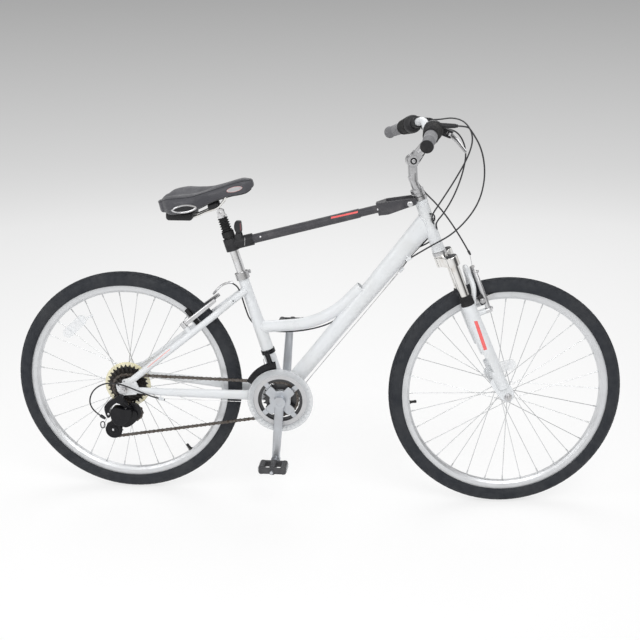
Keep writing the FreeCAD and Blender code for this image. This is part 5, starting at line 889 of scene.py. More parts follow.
def saddle_cover():
    dome = []
    for step in range(dome_steps):
        angle = math.pi / 2 * step / dome_steps
        dome.append((max(dome_least_share, math.sin(angle)), math.cos(angle)))
    rings = [saddle_ring(0.0, shrink, -tail_bulge * push) for shrink, push in dome]
    rings += [saddle_ring(step / cover_steps) for step in range(cover_steps + 1)]
    rings += [saddle_ring(1.0, shrink, nose_bulge * push) for shrink, push in reversed(dome)]
    cover = lofted("saddle_pad", rings, skin, flipped=True)
    settle(cover, "saddle", "saddle_skin", "saddle_cover")
    seams = []
    for place in (seam_index * ring_splits, len(rings[0]) - seam_index * ring_splits):
        line = [ring[place] for ring in rings[dome_steps // 2:len(rings) - dome_steps // 2]]
        seams.append(tube("seam", line, seam_radius, 8, seam_thread))
    settle(joined(seams, "saddle_seams"), "saddle", "saddle_skin")
    return cover


oval_steps = 48
fill_lift = 0.0005
fill_shares = (0.35, 0.65, 0.85, 1.0)


def oval_pixels(centre, long_half, short_half, tilt, point, scale=1.0):
    """Outline of an almond or oval in the photograph. A larger point makes its ends sharper."""
    outline = []
    for step in range(oval_steps):
        angle = 2 * math.pi * step / oval_steps
        x = long_half * scale * math.cos(angle)
        y = short_half * scale * math.sin(angle) * abs(math.sin(angle)) ** point
        outline.append((
            centre[0] + x * math.cos(tilt) - y * math.sin(tilt),
            centre[1] + x * math.sin(tilt) + y * math.cos(tilt),
        ))
    return outline


def trim(name, tree, oval, edge_radius, edge_material, fill_material, slot):
    """Oval insert in the saddle's cover, with a round edge, on both sides of the bike."""
    loop = [seen_on(tree, u, v, edge_radius * 0.3)[0] for u, v in oval_pixels(*oval)]
    edge = ring_tube(f"{name}_edge", loop, [edge_radius] * len(loop), 8, edge_material)
    points = [seen_on(tree, *oval[0], fill_lift)[0]]
    for share in fill_shares:
        points += [seen_on(tree, u, v, fill_lift)[0] for u, v in oval_pixels(*oval, scale=share)]
    faces = [(0, 1 + (step + 1) % oval_steps, 1 + step) for step in range(oval_steps)]
    faces += [[1 + number for number in face] for face in grid(len(fill_shares), oval_steps)]
    fill = as_object(f"{name}_fill", points, faces, fill_material)
    for piece in (edge, fill):
        settle(both_sides(piece, f"{piece.name}s", saddle_pivot, SIDE), "saddle", slot)


cover_tree = tree_of(saddle_cover())
almond = ((183.9, 208.9), 11.9, 3.3, math.radians(-6.8), 0.5)
trim("saddle_almond", cover_tree, almond, 0.0026, steel, black_plastic, "polished_metal")
badge = ((234.4, 189.4), 7.9, 2.3, math.radians(-13), 0.2)
trim("saddle_badge", cover_tree, badge, 0.0005, pale_red, badge_grey, "saddle_skin")
bumper_half = (0.0365, 0.05, 0.0122)
bumper = pillow("saddle_bumper", from_rear(171.5, 0, 818), bumper_half, 0.009, bike_axes, black_plastic)
settle(bumper, "saddle", "black_plastic")

pan_steps = 36
pan_start = 0.015
pan_span = 0.965
pan_width_share = 0.72
# Round the pan's section: share of its half width, and height in metres.
pan_shape = (
    (-1, -0.0005), (-0.94, -0.003), (-0.6, -0.0035), (0.6, -0.0035), (0.94, -0.003), (1, -0.0005),
    (0.5, 0.001), (-0.5, 0.001),
)


def saddle_pan():
    """Stiff shell under the cover, drawn in from its hem."""
    rings = []
    for row in range(pan_steps + 1):
        share = pan_start + pan_span * row / pan_steps
        width, low = saddle_sizes(share, 1, 2)
        half = width * saddle_half * pan_width_share
        x = saddle_back + saddle_length * share
        rings.append([saddle_point(x, across * half, low * saddle_depth + up) for across, up in pan_shape])
    settle(lofted("saddle_pan", rings, black_plastic, flipped=True), "saddle", "black_plastic", "saddle_base")


saddle_pan()
rail_pixels = (
    (187.5, 215.5), (189.5, 218), (193.6, 217), (200, 214.8), (207.7, 211), (217.6, 208.5), (221.5, 204),
    (224.5, 199), (226, 195),
)
rail_face = SIDE * -0.022
rail_radius = 0.0035
rail_line = nurbs_line([seen_on_plane(*pixel, rail_face, SIDE) for pixel in rail_pixels])
rail = tube("rail", rail_line, rail_radius, 12, chrome)
settle(both_sides(rail, "rails", saddle_pivot, SIDE), "saddle", "bare_steel", "saddle_rails")
clamp_middle = seen_on_plane(212.6, 207.2, rail_face, SIDE)
cheek_out = 0.0165
cheek_half = (0.0133, 0.0082, 0.0093)
cheek_axes = (saddle_x, SIDE, saddle_z)
cheeks = []
for side in (RIGHT, LEFT):
    place = Vector((clamp_middle.x, cheek_out * side, clamp_middle.z))
    cheeks.append(pillow(f"cheek_{side}", place, cheek_half, 0.004, cheek_axes, black_plastic))
settle(joined(cheeks, "rail_clamp"), "saddle", "black_plastic")


# Bellows of the seatpost: distances up the post in metres, its section in millimetres

crank_centre = place_of("crank_spin")
bellows_low = 0.49155
sleeve_low = 0.4712
bellows_height = 41
bellows_root = 11.2
bellows_crest = 15.6
bellows_ribs = 6


def seat_point(distance):
    return crank_centre + seat_way * distance


def bellows():
    profile = [(bellows_root - 1.2, 0)]
    step = bellows_height / bellows_ribs
    for rib in range(bellows_ribs):
        wide = bellows_crest - 1.2 * rib / bellows_ribs
        profile += [
            (bellows_root, step * (rib + 0.1)), (wide - 0.4, step * (rib + 0.42)), (wide, step * (rib + 0.5)),
            (wide - 0.4, step * (rib + 0.58)), (bellows_root, step * (rib + 0.9)),
        ]
    profile.append((bellows_root - 1.2, bellows_height))
    piece = lathe("bellows", profile, seat_point(bellows_low), seat_way, 48, black_rubber)
    settle(piece, "seatpost", "black_rubber", "seatpost_bellows")
    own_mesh(piece)


bellows()
sleeve = ((12.8, 0), (14.6, 0.3), (15, 1), (15, 4.6), (14.6, 5.2), (12.8, 5.4))
sleeve_piece = lathe("seatpost_sleeve", sleeve, seat_point(sleeve_low), seat_way, 40, black_rubber)
settle(sleeve_piece, "seatpost", "black_rubber")


# Grips, shifter shells, levers

side_names = {RIGHT: "right", LEFT: "left"}
grip_ribs = 10
drum_ribs = 9
ring_count = 5
blade_sides = 14
blade_wide = 0.0062
blade_wide_taper = 0.0016
blade_thick = 0.0036
blade_thick_taper = 0.001
blade_end = 0.94
# Lever blade in the frame of a bar end: out along the reach, across, inwards.
lever_points = (
    (42, 0, 180), (58.6, -4.3, 172), (70, -4.4, 150), (80, -3.9, 125), (88.5, -2.2, 100), (95.3, -1.1, 82),
)


def grip_axes(side):
    """Bar end, the way to the lever, the way across it and the way inwards along the bar."""
    name = side_names[side]
    end = place_of(f"twist_grip_{name}_turn")
    inwards = axis_of(f"twist_grip_{name}_turn")
    reach = place_of(f"brake_lever_{name}_pull") - end
    reach = (reach - inwards * reach.dot(inwards)).normalized()
    return end, reach, inwards.cross(reach), inwards


def grip_place(side, x, y, z):
    """A place in millimetres in the frame of a bar end. Y is mirrored, so both sides share their numbers."""
    end, reach, across, inwards = grip_axes(side)
    return end + (reach * x + across * (y * side) + inwards * z) / 1000


def grip(side):
    name = side_names[side]
    end, _, _, inwards = grip_axes(side)
    profile = [(0.4, -2.1), (10.5, -2.1), (15, -1.4), (16.9, 0.6), (17.2, 3.4), (16.5, 7.6), (15, 11.8)]
    for step in range(grip_ribs * 4 + 1):
        share = step / (grip_ribs * 4)
        swell = 0.4 * math.sin(share * math.pi)
        ridge = 0.7 * max(0.0, math.sin(share * grip_ribs * 2 * math.pi))
        profile.append((14.3 + 0.9 * share + swell + ridge, 14 + 74 * share))
    profile += [(16.8, 89.5), (17.2, 91.5), (16.6, 93.6), (11.2, 93.8)]
    rubber = lathe(f"grip_{name}_rubber", profile, end, inwards, 40, grip_rubber)
    settle(rubber, "cockpit", "black_rubber", "grips")
    # Painted shade: the end caps are black rubber, darker than the grip, standing in for the shade on the
    # grip's end.
    cap = ((0.4, -3.4), (10, -3.3), (14.8, -2.5), (16.2, -0.8))
    settle(lathe(f"grip_{name}_cap", cap, end, inwards, 40, black_rubber), "cockpit", "black_rubber")


def shifter(side):
    name = side_names[side]
    end, _, _, inwards = grip_axes(side)
    shell = (
        (18.6, 144.4), (22.5, 144.8), (24.5, 146.6), (25.2, 150), (25.2, 157), (24.2, 162.5), (21.5, 166.8),
        (16, 169),
    )
    settle(lathe(f"shifter_{name}_shell", shell, end, inwards, 48, black_plastic), "cockpit", "black_plastic")
    drum = [(18.8, 94.6), (20.2, 95), (20.8, 96.6)]
    for step in range(drum_ribs):
        low, wide = 97.8 + 4.8 * step, 21 + 0.4 * step
        drum += [(wide - 0.8, low), (wide - 0.8, low + 1), (wide, low + 1.6), (wide + 0.2, low + 4.2)]
    drum += [(24.8, 141.2), (24.2, 143), (19, 143.4)]
    drum_piece = lathe(f"twist_{name}_drum", drum, end, inwards, 56, black_rubber)
    settle(drum_piece, f"twist_grip_{name}", "black_rubber")
    rings = []
    for step in range(ring_count):
        low, wide = 50 + 8.2 * step, 15.6 + 0.1 * step
        shape = ((-0.8, 0), (0.4, 0.6), (0.6, 1.5), (0.4, 2.4), (-0.8, 3))
        profile = [(wide + out, low + up) for out, up in shape]
        rings.append(lathe(f"ring_{step}", profile, end, inwards, 48, grip_grey, closed=True))
    settle(joined(rings, f"grip_{name}_rings"), "cockpit", "black_rubber")


def lever(side):
    """Flat cast blade with a round end, and the boss on the lever's pivot."""
    name = f"lever_{side_names[side]}"
    _, _, across, _ = grip_axes(side)
    line = nurbs_line([grip_place(side, *point) for point in lever_points])
    rings = []
    for index, (place, way) in enumerate(zip(line, ways_along(line))):
        share = index / (len(line) - 1)
        flat = (across - way * across.dot(way)).normalized()
        close = math.sqrt(max(0.02, 1 - max(0.0, (share - blade_end) / (1 - blade_end)) ** 2))
        wide = (blade_wide - blade_wide_taper * share) * close
        thick = (blade_thick - blade_thick_taper * share) * close
        rings.append(round_ring(place, flat * wide, way.cross(flat) * thick, 1, blade_sides))
    blade = lofted(f"{name}_blade", rings, cast)
    profile = ((3, -5.2), (5.8, -5), (6.6, -4), (6.6, 4), (5.8, 5), (3, 5.2))
    boss = lathe(f"{name}_boss", profile, place_of(f"brake_{name}_pull"), across, 32, cast)
    settle(joined([blade, boss], name), f"brake_{name}", "polished_metal", f"brake_{name}")


for side in (RIGHT, LEFT):
    grip(side)
    shifter(side)
    lever(side)


# Valves

valve_foot = 0.2672


def leftward(way):
    """A direction, turned round where it points to the bike's right."""
    return way if way.y > 0 else -way


def valve(name, hub, ahead, up, angle, body):
    out = ahead * math.cos(angle) + up * math.sin(angle)
    profile = (
        (5.8, 0), (5.6, 2.5), (3.9, 3.5), (3.8, 10.5), (3.3, 11), (3.3, 12), (4.2, 12.5), (4.2, 18.5),
        (3.2, 19.8), (0.4, 20.2),
    )
    settle(lathe(name, profile, hub + out * valve_foot, -out, 20, black_rubber), body, "black_rubber")


steer_side = leftward(front_axle_way)
steer_ahead = steer_side.cross(steer_way)
valve("front_valve", front_hub, steer_ahead, steer_way, math.radians(165.7), "front_wheel")
valve("rear_valve", rear_hub, FORWARD, UP, math.radians(-50.6), "rear_wheel")


# Cables: housings from the levers and shifters to the frame and the brakes, and bare wires

housing_radius = 0.0021
noodle_radius = 0.0031
wire_radius = 0.0009
wire_splits = 12
nose_turn = math.radians(21)
nose_across = 12.3
nose_inwards = 156.2


def nose_lead(side):
    """The end of a shifter's nose and the way that the housing leaves it."""
    lead = []
    for reach in (49, 78):
        across = nose_across + reach * math.sin(nose_turn)
        lead.append(grip_place(side, reach * math.cos(nose_turn), across, nose_inwards))
    return lead


def bracket_lead(side):
    return [grip_place(side, 28, 0, inwards) for inwards in (190.4, 218.4)]


def places(points):
    return [from_rear(*point) for point in points]


def parted(line, height):
    """A falling line as the part above a height and the part below it, which share a point."""
    cut = next(index for index, point in enumerate(line) if point.z < height)
    return line[:cut + 1], line[cut:]


def bent_housing(name, line, node):
    """Housing along a line, standing for a cable node, which it hides."""
    piece = tube(name, line, housing_radius, 10, housing_black)
    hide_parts(node)
    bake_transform(piece)


def ferrule(name, place, way, radius, length, material, body, slot):
    profile = (
        (radius * 0.5, -length / 2), (radius * 0.92, -length * 0.48), (radius, -length * 0.4),
        (radius, length * 0.15), (radius * 0.82, length * 0.2), (radius * 0.82, length * 0.44),
        (radius * 0.5, length / 2),
    )
    settle(lathe(name, profile, place, way, 20, material), body, slot)


right_shift = nurbs_line(nose_lead(RIGHT) + places((
    (944, -134, 1068), (976, -116, 1014), (987, -94, 938), (970, -66, 858), (914, -43, 783), (850, -30, 744),
    (790, -23, 704),
)))
left_shift = nurbs_line(nose_lead(LEFT) + places((
    (904, 146, 1066), (938, 80, 1062), (958, 26, 1030), (946, -4, 984), (912, -16, 922), (872, -22, 858),
    (850, -24, 824), (858, -14, 802), (860, 16, 782), (846, 34, 752), (800, 26, 708), (770, 11, 667),
)))
rear_brake = nurbs_line(bracket_lead(RIGHT) + places((
    (918, -60, 1050), (938, -56, 1004), (931, -54, 950), (912, -48, 890), (886, -36, 838), (862, -24, 806),
    (868, -8, 786), (864, 22, 762), (842, 32, 734), (750, 33, 700), (650, 27, 562), (600, 24, 520),
    (560, 12, 500), (494, 10, 484), (428, 16, 478), (380, 26, 484), (350, 14, 508), (338, 0, 556),
    (326, 0, 600), (314, 0, 619), (294, 0, 626),
)))
noodle = nurbs_line(places(((300, 0, 624), (288, -2, 623), (270, -8, 614), (258, -20, 600))))
front_brake = nurbs_line(bracket_lead(LEFT) + places((
    (858, 82, 1030), (829, 54, 980), (797, 30, 932), (822, 14, 890), (872, 0, 846), (922, -10, 780),
    (955, -10, 723),
)))
rear_loop = nurbs_line(places((
    (106, -64, 296), (84, -77, 305), (14, -84, 338), (-20, -83, 347), (-58, -81, 344), (-90, -79, 321),
    (-103, -77, 286), (-90, -76, 256), (-66, -74, 240),
)))
# Heights for each housing: a bend from the cockpit to the fork, the cut between its two pieces, and a bend
# from the fork to what is below it, with that body. Only the cut is made; the housings don't bend.
for name, line, high, cut, lower_high, lower_low, below, node in (
    ("right_shift", right_shift, 1.06, 0.99, 0.985, 0.79, "frame", "shift_cables"),
    ("left_shift", left_shift, 1.06, 0.99, 0.985, 0.83, "frame", "shift_cables"),
    ("rear_brake", rear_brake, 1.04, 0.985, 0.98, 0.82, "frame", "brake_cables"),
    ("front_brake", front_brake, 1.03, 0.95, 0.9, 0.74, "fork_lower", "brake_cables"),
):
    upper, lower = parted(line, cut)
    bent_housing(f"{name}_upper", upper, node)
    bent_housing(f"{name}_lower", lower, node)
settle(tube("rear_loop", rear_loop, housing_radius, 10, housing_black), "frame", "black_plastic")
settle(tube("rear_noodle", noodle, noodle_radius, 14, steel), "frame", "polished_metal")

right_wire = places((
    (783, -22, 695), (757, -12, 651), (520, -9, 353), (470, -8, 283), (441, -9, 276.8), (380, -28, 281),
    (112, -62, 297),
))
left_wire = places((
    (764, 9, 656), (520, 9, 350), (470, 8, 281), (436, 6, 276.2), (410, 2, 292), (396, -14, 350),
    (392, -24, 410),
))
front_tops = places(((970.2, -21.7, 676.9), (962.7, 39.8, 674.1)))
front_middle = front_tops[0].lerp(front_tops[1], 0.42)
front_end = front_brake[-1]
for name, points, body in (
    ("right_wire", right_wire, "frame"), ("left_wire", left_wire, "frame"),
    ("front_brake_wire", [front_end, front_end.lerp(front_middle, 0.5), front_middle], "fork_lower"),
    ("front_cross_wire", [front_tops[0], front_middle, front_tops[1]], "fork_lower"),
):
    settle(tube(name, nurbs_line(points), wire_radius, 8, steel), body, "bare_steel")
rear_tops = places(((260, -27, 580), (260, 27, 580)))
rear_middle = rear_tops[0].lerp(rear_tops[1], 0.5)
for name, top in zip(("right", "left"), rear_tops):
    line = [rear_middle.lerp(top, step / wire_splits) for step in range(wire_splits + 1)]
    half = tube(f"rear_wire_{name}", line, wire_radius, 8, steel)
    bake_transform(half)

# Ferrules: the line and the end of it that they sit on, radius and length in millimetres.
for name, line, end, radius, length, material, body in (
    ("right_shift_ferrule", right_shift, -1, 3.1, 14, black_plastic, "frame"),
    ("left_shift_ferrule", left_shift, -1, 3.1, 14, black_plastic, "frame"),
    ("rear_loop_ferrule", rear_loop, 0, 3.1, 16, black_plastic, "frame"),
    ("rear_loop_adjuster", rear_loop, -1, 4.6, 18, black_plastic, "frame"),
    ("front_brake_ferrule", front_brake, -1, 3.2, 14, black_plastic, "fork_lower"),
    ("rear_noodle_boot", noodle, -1, 3.4, 14, grip_grey, "frame"),
    ("rear_noodle_ferrule", noodle, 0, 4.2, 14, steel, "frame"),
    ("right_shift_adjuster", right_shift, 0, 5.2, 16, black_plastic, "cockpit"),
    ("left_shift_adjuster", left_shift, 0, 5.2, 16, black_plastic, "cockpit"),
    ("rear_brake_adjuster", rear_brake, 0, 5.2, 18, cast, "cockpit"),
    ("front_brake_adjuster", front_brake, 0, 5.2, 18, cast, "cockpit"),
):
    way = line[1] - line[0] if end == 0 else line[-1] - line[-2]
    slot = "polished_metal" if material in (cast, steel) else "black_plastic"
    ferrule(name, line[end], way, radius, length, material, body, slot)


# Cable hooks on the head tube

hook_radius = 0.0019
hook_start = from_rear(849, 0, 826)
upper_hook = ((2, -17, 4), (6, -20, 4), (11, -21, -2), (11, -18, -13), (4, -12, -18))
lower_hook = ((-2, -14, -7), (8, -17, -8), (13, -13, -13), (9, -8, -18), (1, -10, -19))
head_tree = tree_of(nodes["head_tube"])
for name, points, material, slot in (
    ("upper_hook", upper_hook, black_plastic, "black_plastic"),
    ("lower_hook", lower_hook, steel, "bare_steel"),
):
    line = [hook_start + Vector(point) / 1000 for point in points]
    for end in (0, -1):
        line[end] = head_tree.find_nearest(line[end])[0]
    settle(tube(name, nurbs_line(line), hook_radius, 10, material), "frame", slot)


# Weld beads of the frame

weld("weld_head_down", "down_tube", "head_tube")
weld("weld_shell_down", "down_tube", "bottom_bracket_shell")
weld("weld_shell_seat", "seat_tube", "bottom_bracket_shell")
weld("weld_top_seat", "top_tube", "seat_tube")
weld("weld_top_down", "top_tube", "down_tube")
for side in (RIGHT, LEFT):
    weld(f"weld_chain_stay_{side_names[side]}", "chain_stays", "bottom_bracket_shell", side)
    weld(f"weld_seat_stay_{side_names[side]}", "seat_stays", "seat_tube", side)


# Stripes and small rivets that sit on what carries them

leg_corners = ((474.0, 321.2), (477.4, 321.0), (487.2, 349.4), (483.9, 350.4))
leg_stripe = decal("fork_stripe", tree_of(nodes["fork_lowers"]), leg_corners, 6, 24, red)
settle(both_sides(leg_stripe, "fork_stripes", front_hub, steer_side), "fork_lower", "white_paint")
carrier_tree = tree_of(nodes["carrier_bar"])
carrier_corners = ((331, 217.0), (331, 218.8), (357.7, 212.9), (357.7, 211.1))
settle(decal("carrier_stripe", carrier_tree, carrier_corners, 4, 16, red), "frame", "black_paint")
stay_corners = ((147.2, 367.0), (147.8, 367.7), (170.3, 349.5), (169.7, 348.8))
pinstripe = decal("stay_pinstripe", tree_of(nodes["seat_stays"]), stay_corners, 3, 30, pale_red)
settle(both_sides(pinstripe, "stay_pinstripes", rear_hub, SIDE), "frame", "white_paint")

seat_tree = tree_of(nodes["seat_tube"])
for name, tree, pixel, radius, material, slot in (
    ("carrier_rivet_rear", carrier_tree, (260.4, 236.8), 2.6, bright, "polished_metal"),
    ("carrier_rivet_front", carrier_tree, (377.6, 209.5), 2.6, bright, "polished_metal"),
    ("carrier_yoke_bolt", carrier_tree, (410.2, 204.0), 7.8, cast, "polished_metal"),
    ("seat_tube_rivet_upper", seat_tree, (244.2, 289.8), 1.8, steel, "bare_steel"),
    ("seat_tube_rivet_lower", seat_tree, (246.2, 294.5), 1.8, steel, "bare_steel"),
):
    rivet(name, tree, pixel, radius, 20, material, slot)


# Front brake, near arm: pad holder, washer and bolt heads

arm_top_pixel = (470.6, 264.7)
arm_foot_pixel = (491.3, 307.8)
arm_points = world_points(nodes["front_brake_arm_right"])
arm_face = front_hub + steer_side * min((point - front_hub).dot(steer_side) for point in arm_points)


def seen_on_arm(pixel, behind=0.0):
    """Where a pixel is seen on the arm's near face, or on a plane behind it."""
    return seen_on_plane(*pixel, arm_face + steer_side * behind, steer_side)


arm_way = (seen_on_arm(arm_top_pixel) - seen_on_arm(arm_foot_pixel)).normalized()
arm_axes = (arm_way.cross(steer_side), steer_side, arm_way)
holder_half = (0.0072, 0.006, 0.0145)
holder_place = seen_on_arm((481.4, 299.8), 0.004)
holder = pillow("brake_holder", holder_place, holder_half, 0.004, arm_axes, black_plastic)
settle(holder, "front_brake_arm_right", "black_plastic")
washer_shape = ((7.2, 0), (7.2, 1.6), (6.2, 2.6), (4.6, 2.6), (4, 1.4), (3.2, 1.6), (2.8, 3), (0.4, 3.2))
washer = lathe("brake_washer", washer_shape, seen_on_arm((482.6, 300.9), -0.0018), -steer_side, 32, steel)
settle(washer, "front_brake_arm_right", "bare_steel")
bolt_shape = ((0.7, -1.2), (0.8, -0.6), (1.0, -0.5), (1.0, 0.4), (0.7, 0.8), (0.05, 0.9))
bolts = (((472.9, 266.4), 4.2), ((477.5, 271.2), 4), (arm_foot_pixel, 4.6))
for number, (pixel, radius) in enumerate(bolts):
    shape = [(out * radius, up * radius) for out, up in bolt_shape]
    bolt = lathe(f"brake_bolt_{number}", shape, seen_on_arm(pixel), -steer_side, 24, steel)
    settle(bolt, "front_brake_arm_right", "bare_steel")


# Crank: a broad spider with four short arms, in front of the rings

spider_face = -0.0628
spider_hub = Vector((crank_centre.x, spider_face, crank_centre.z))
spider_root = 0.030
spider_arm = 0.018
# Degrees from the middle of an arm to its foot and to its flat end.
arm_foot_degrees = 27
arm_end_degrees = 14
spider = []
for degrees in range(0, 360, 3):
    angle = math.radians(degrees)
    from_arm = abs(degrees % 90 - 45)
    reach = spider_root + spider_arm * smooth_step(arm_foot_degrees, arm_end_degrees, from_arm)
    spider.append(spider_hub + (FORWARD * math.cos(angle) + UP * math.sin(angle)) * reach)
settle(plate("crank_spider", spider, SIDE * 0.005, 0.0012, crank_metal), "crankset", "polished_metal")


# Pedals: open bodies with round ends, a middle over the spindle and reflectors

pedal_out = 0.134
pedal_pin = ((6, 0), (6.6, 1), (6.6, 4), (5.2, 5), (5.2, 30), (1, 30.2))
for side in (RIGHT, LEFT):
    name = f"pedal_{side_names[side]}"
    spindle = place_of(f"{name}_spin")
    centre = Vector((spindle.x, side * pedal_out, spindle.z))
    shells = [(Vector(), (0.0085, 0.029, 0.0125), 0.006)]
    plates = []
    for way in (-1, 1):
        shells.append((FORWARD * (0.0305 * way), (0.0085, 0.027, 0.0125), 0.0075))
        shells.append((SIDE * (0.0245 * way), (0.037, 0.0042, 0.0095), 0.0038))
        plates.append((FORWARD * (0.0385 * way), (0.002, 0.02, 0.0066), 0.0018))
    for part, blocks, material, slot, replaced in (
        ("shell", shells, pedal_grey, "black_plastic", [name]),
        ("reflectors", plates, reflector_clear, "clear_grey", []),
    ):
        pieces = []
        for shift, half, radius in blocks:
            pieces.append(pillow(f"{name}_block", centre + shift, half, radius, bike_axes, material))
        settle(joined(pieces, f"{name}_{part}"), name, slot, *replaced)
    inner = min(abs(point.y) for point in world_points(nodes[name]))
    start = Vector((spindle.x, side * inner, spindle.z))
    settle(lathe(f"{name}_pin", pedal_pin, start, SIDE * side, 24, steel), name, "bare_steel")


# Stem pivot: a disc with a sunk ring

stem_side = leftward(axis_of("stem_tilt"))
pivot_out = 0.0205
pivot_face = place_of("stem_tilt") - stem_side * pivot_out
pivot_disc = ((15.2, 0), (15.2, 2), (14.2, 3), (0.4, 3.2))
pivot_ring = ((9, 2.8), (9, 3.7), (5.8, 3.7), (0.4, 3.4))
pivot_bolt = ((5.2, 3), (5.2, 4.4), (4.4, 5), (2.6, 5), (2.2, 4), (0.4, 4))
for name, profile, material, slot in (
    ("stem_pivot_disc", pivot_disc, satin, "polished_metal"),
    ("stem_pivot_ring", pivot_ring, mech_black, "black_paint"),
    ("stem_pivot_bolt", pivot_bolt, satin, "polished_metal"),
):
    settle(lathe(name, profile, pivot_face, -stem_side, 48, material), "cockpit", slot)


# Caps of the fork's legs

leg_tops = {RIGHT: Vector((0.371, -0.052, 0.724)), LEFT: Vector((0.358, 0.057, 0.719))}
leg_cap = ((13.5, -13), (15.1, -12.6), (15.5, -11.5), (15.5, -2.2), (14.7, -0.6), (12, 0.3), (0.4, 0.6))
for side, top in leg_tops.items():
    cap = lathe(f"leg_cap_{side_names[side]}", leg_cap, top, steer_way, 36, black_plastic)
    settle(cap, "fork", "black_plastic")


# Fork ends: flared plates round the axle

fork_end_pixels = (
    (489.0, 382.0), (493.6, 389.4), (499.3, 397.7), (504.5, 401.8), (509.1, 402.3), (513.3, 399.2),
    (514.7, 393.4), (512.0, 387.7), (507.9, 382.5), (502.8, 377.9), (495.9, 376.8),
)
outline = seen_outline(fork_end_pixels, front_hub - steer_side * 0.0563, steer_side)
fork_end = plate("fork_end", outline, steer_side * 0.0042, 0.0008, white)
settle(both_sides(fork_end, "fork_ends", front_hub, steer_side), "fork_lower", "white_paint")


# Rear derailleur: cast body, link and cage cover

# Outline in pixels, distance of the near face from the middle of the bike, and depth.
mech_plates = (
    ("mech_link", (
        (117.0, 396.1), (124.1, 396.9), (124.1, 400.8), (118.6, 401.6), (110.8, 407.0), (108.4, 412.5),
        (110.8, 417.2), (106.9, 418.8), (103.8, 409.4), (104.5, 405.5), (108.4, 401.6), (114.7, 398.4),
    ), 0.084, 0.022),
    ("mech_block", (
        (110.8, 408.6), (116.3, 407.8), (124.1, 410.2), (130.3, 409.4), (131.9, 412.5), (130.3, 418.8),
        (124.1, 425.0), (119.4, 426.6), (113.1, 423.4), (110.0, 417.2),
    ), 0.089, 0.028),
    ("mech_cover", (
        (127.2, 403.9), (133.4, 402.3), (138.9, 405.5), (141.3, 410.9), (140.5, 416.4), (136.6, 421.1),
        (130.3, 426.6), (124.1, 428.1), (121.7, 425.0), (127.2, 418.8), (129.5, 412.5),
    ), 0.0665, 0.006),
)
mech_pieces = []
for name, pixels, near, depth in mech_plates:
    piece = plate(name, seen_outline(pixels, SIDE * -near, SIDE), SIDE * depth, 0.0012, mech_black)
    mech_pieces.append(settle(piece, "frame", "black_paint"))
clip_pixels = ((100.4, 421.8), (104.6, 421.4), (105.2, 427.4), (101.2, 428.2))
clip = seen_outline(clip_pixels, SIDE * -0.070, SIDE)
settle(ring_tube("mech_clip", clip, [0.0016] * len(clip), 8, mech_black), "frame", "black_paint")
tension_hub = place_of("tension_pulley_spin")
ring_place = Vector((tension_hub.x, -0.0584, tension_hub.z))
mech_ring = (
    (24.5, 0), (24.5, 1.6), (23.5, 2.6), (20.5, 2.6), (19.5, 1.4), (13.5, 1.4), (12.5, 2.8), (7.5, 3.4),
    (6.5, 2.2), (4, 2.2), (3.6, 3.6), (0.4, 3.8),
)
piece = lathe("mech_ring", mech_ring, ring_place, -SIDE, 48, mech_black)
mech_pieces.append(settle(piece, "frame", "black_paint"))
bpy.context.view_layer.update()
mech_tree = tree_of(nodes["rear_mech_body"], nodes["rear_mech_cage"], *mech_pieces)
for number, pixel in enumerate(((125.9, 408.6), (108.4, 414.1), (113.1, 429.7))):
    rivet(f"mech_bolt_{number}", mech_tree, pixel, 3.4, 24, steel, "bare_steel")


# Carrier lever: a thick paddle with a red edge

paddle_pixels = (
    (234.2, 222.2), (236.5, 221.4), (240.0, 221.6), (240.6, 222.8), (241.6, 231.6), (240.4, 233.6),
    (236.4, 233.8), (233.6, 229.2),
)
edge_pixels = ((239.5, 222.4), (240.5, 222.8), (241.4, 230.8), (240.0, 230.8))
lever_face = Vector((0, -0.0095, 0))
outline = seen_outline(paddle_pixels, lever_face, SIDE)
paddle = plate("carrier_paddle", outline, SIDE * 0.019, 0.0018, black_plastic)
barrel = ((1.2, -8.5), (5.4, -8.3), (6, -7.5), (6, 7.5), (5.4, 8.3), (1.2, 8.5))
pivot = lathe("paddle_pivot", barrel, place_of("carrier_lever_swing"), SIDE, 28, black_plastic)
settle(joined([paddle, pivot], "carrier_paddle"), "carrier_lever", "black_plastic", "carrier_lever")
clamp_tree = tree_of(nodes["carrier_clamp"])
seam = [seen_on(clamp_tree, 245 - 0.05 * step, 237.5 + step, 0.0002)[0] for step in range(9)]
settle(tube("carrier_clamp_seam", seam, seam_radius, 8, cast), "frame", "polished_metal")
edge_stand = 1.06
outline = seen_outline(edge_pixels, lever_face * edge_stand, SIDE)
edge = plate("carrier_paddle_edge", outline, SIDE * 0.0024, 0.0005, dark_red)
settle(edge, "carrier_lever", "black_paint")


# Stage, light and camera

shadow_share = 0.3
panel_dark = 0.1
panel_light = 0.85
panel_top = 0.5
panels_per_turn = 3.0
sky_level = 0.38
floor_half = 400.0


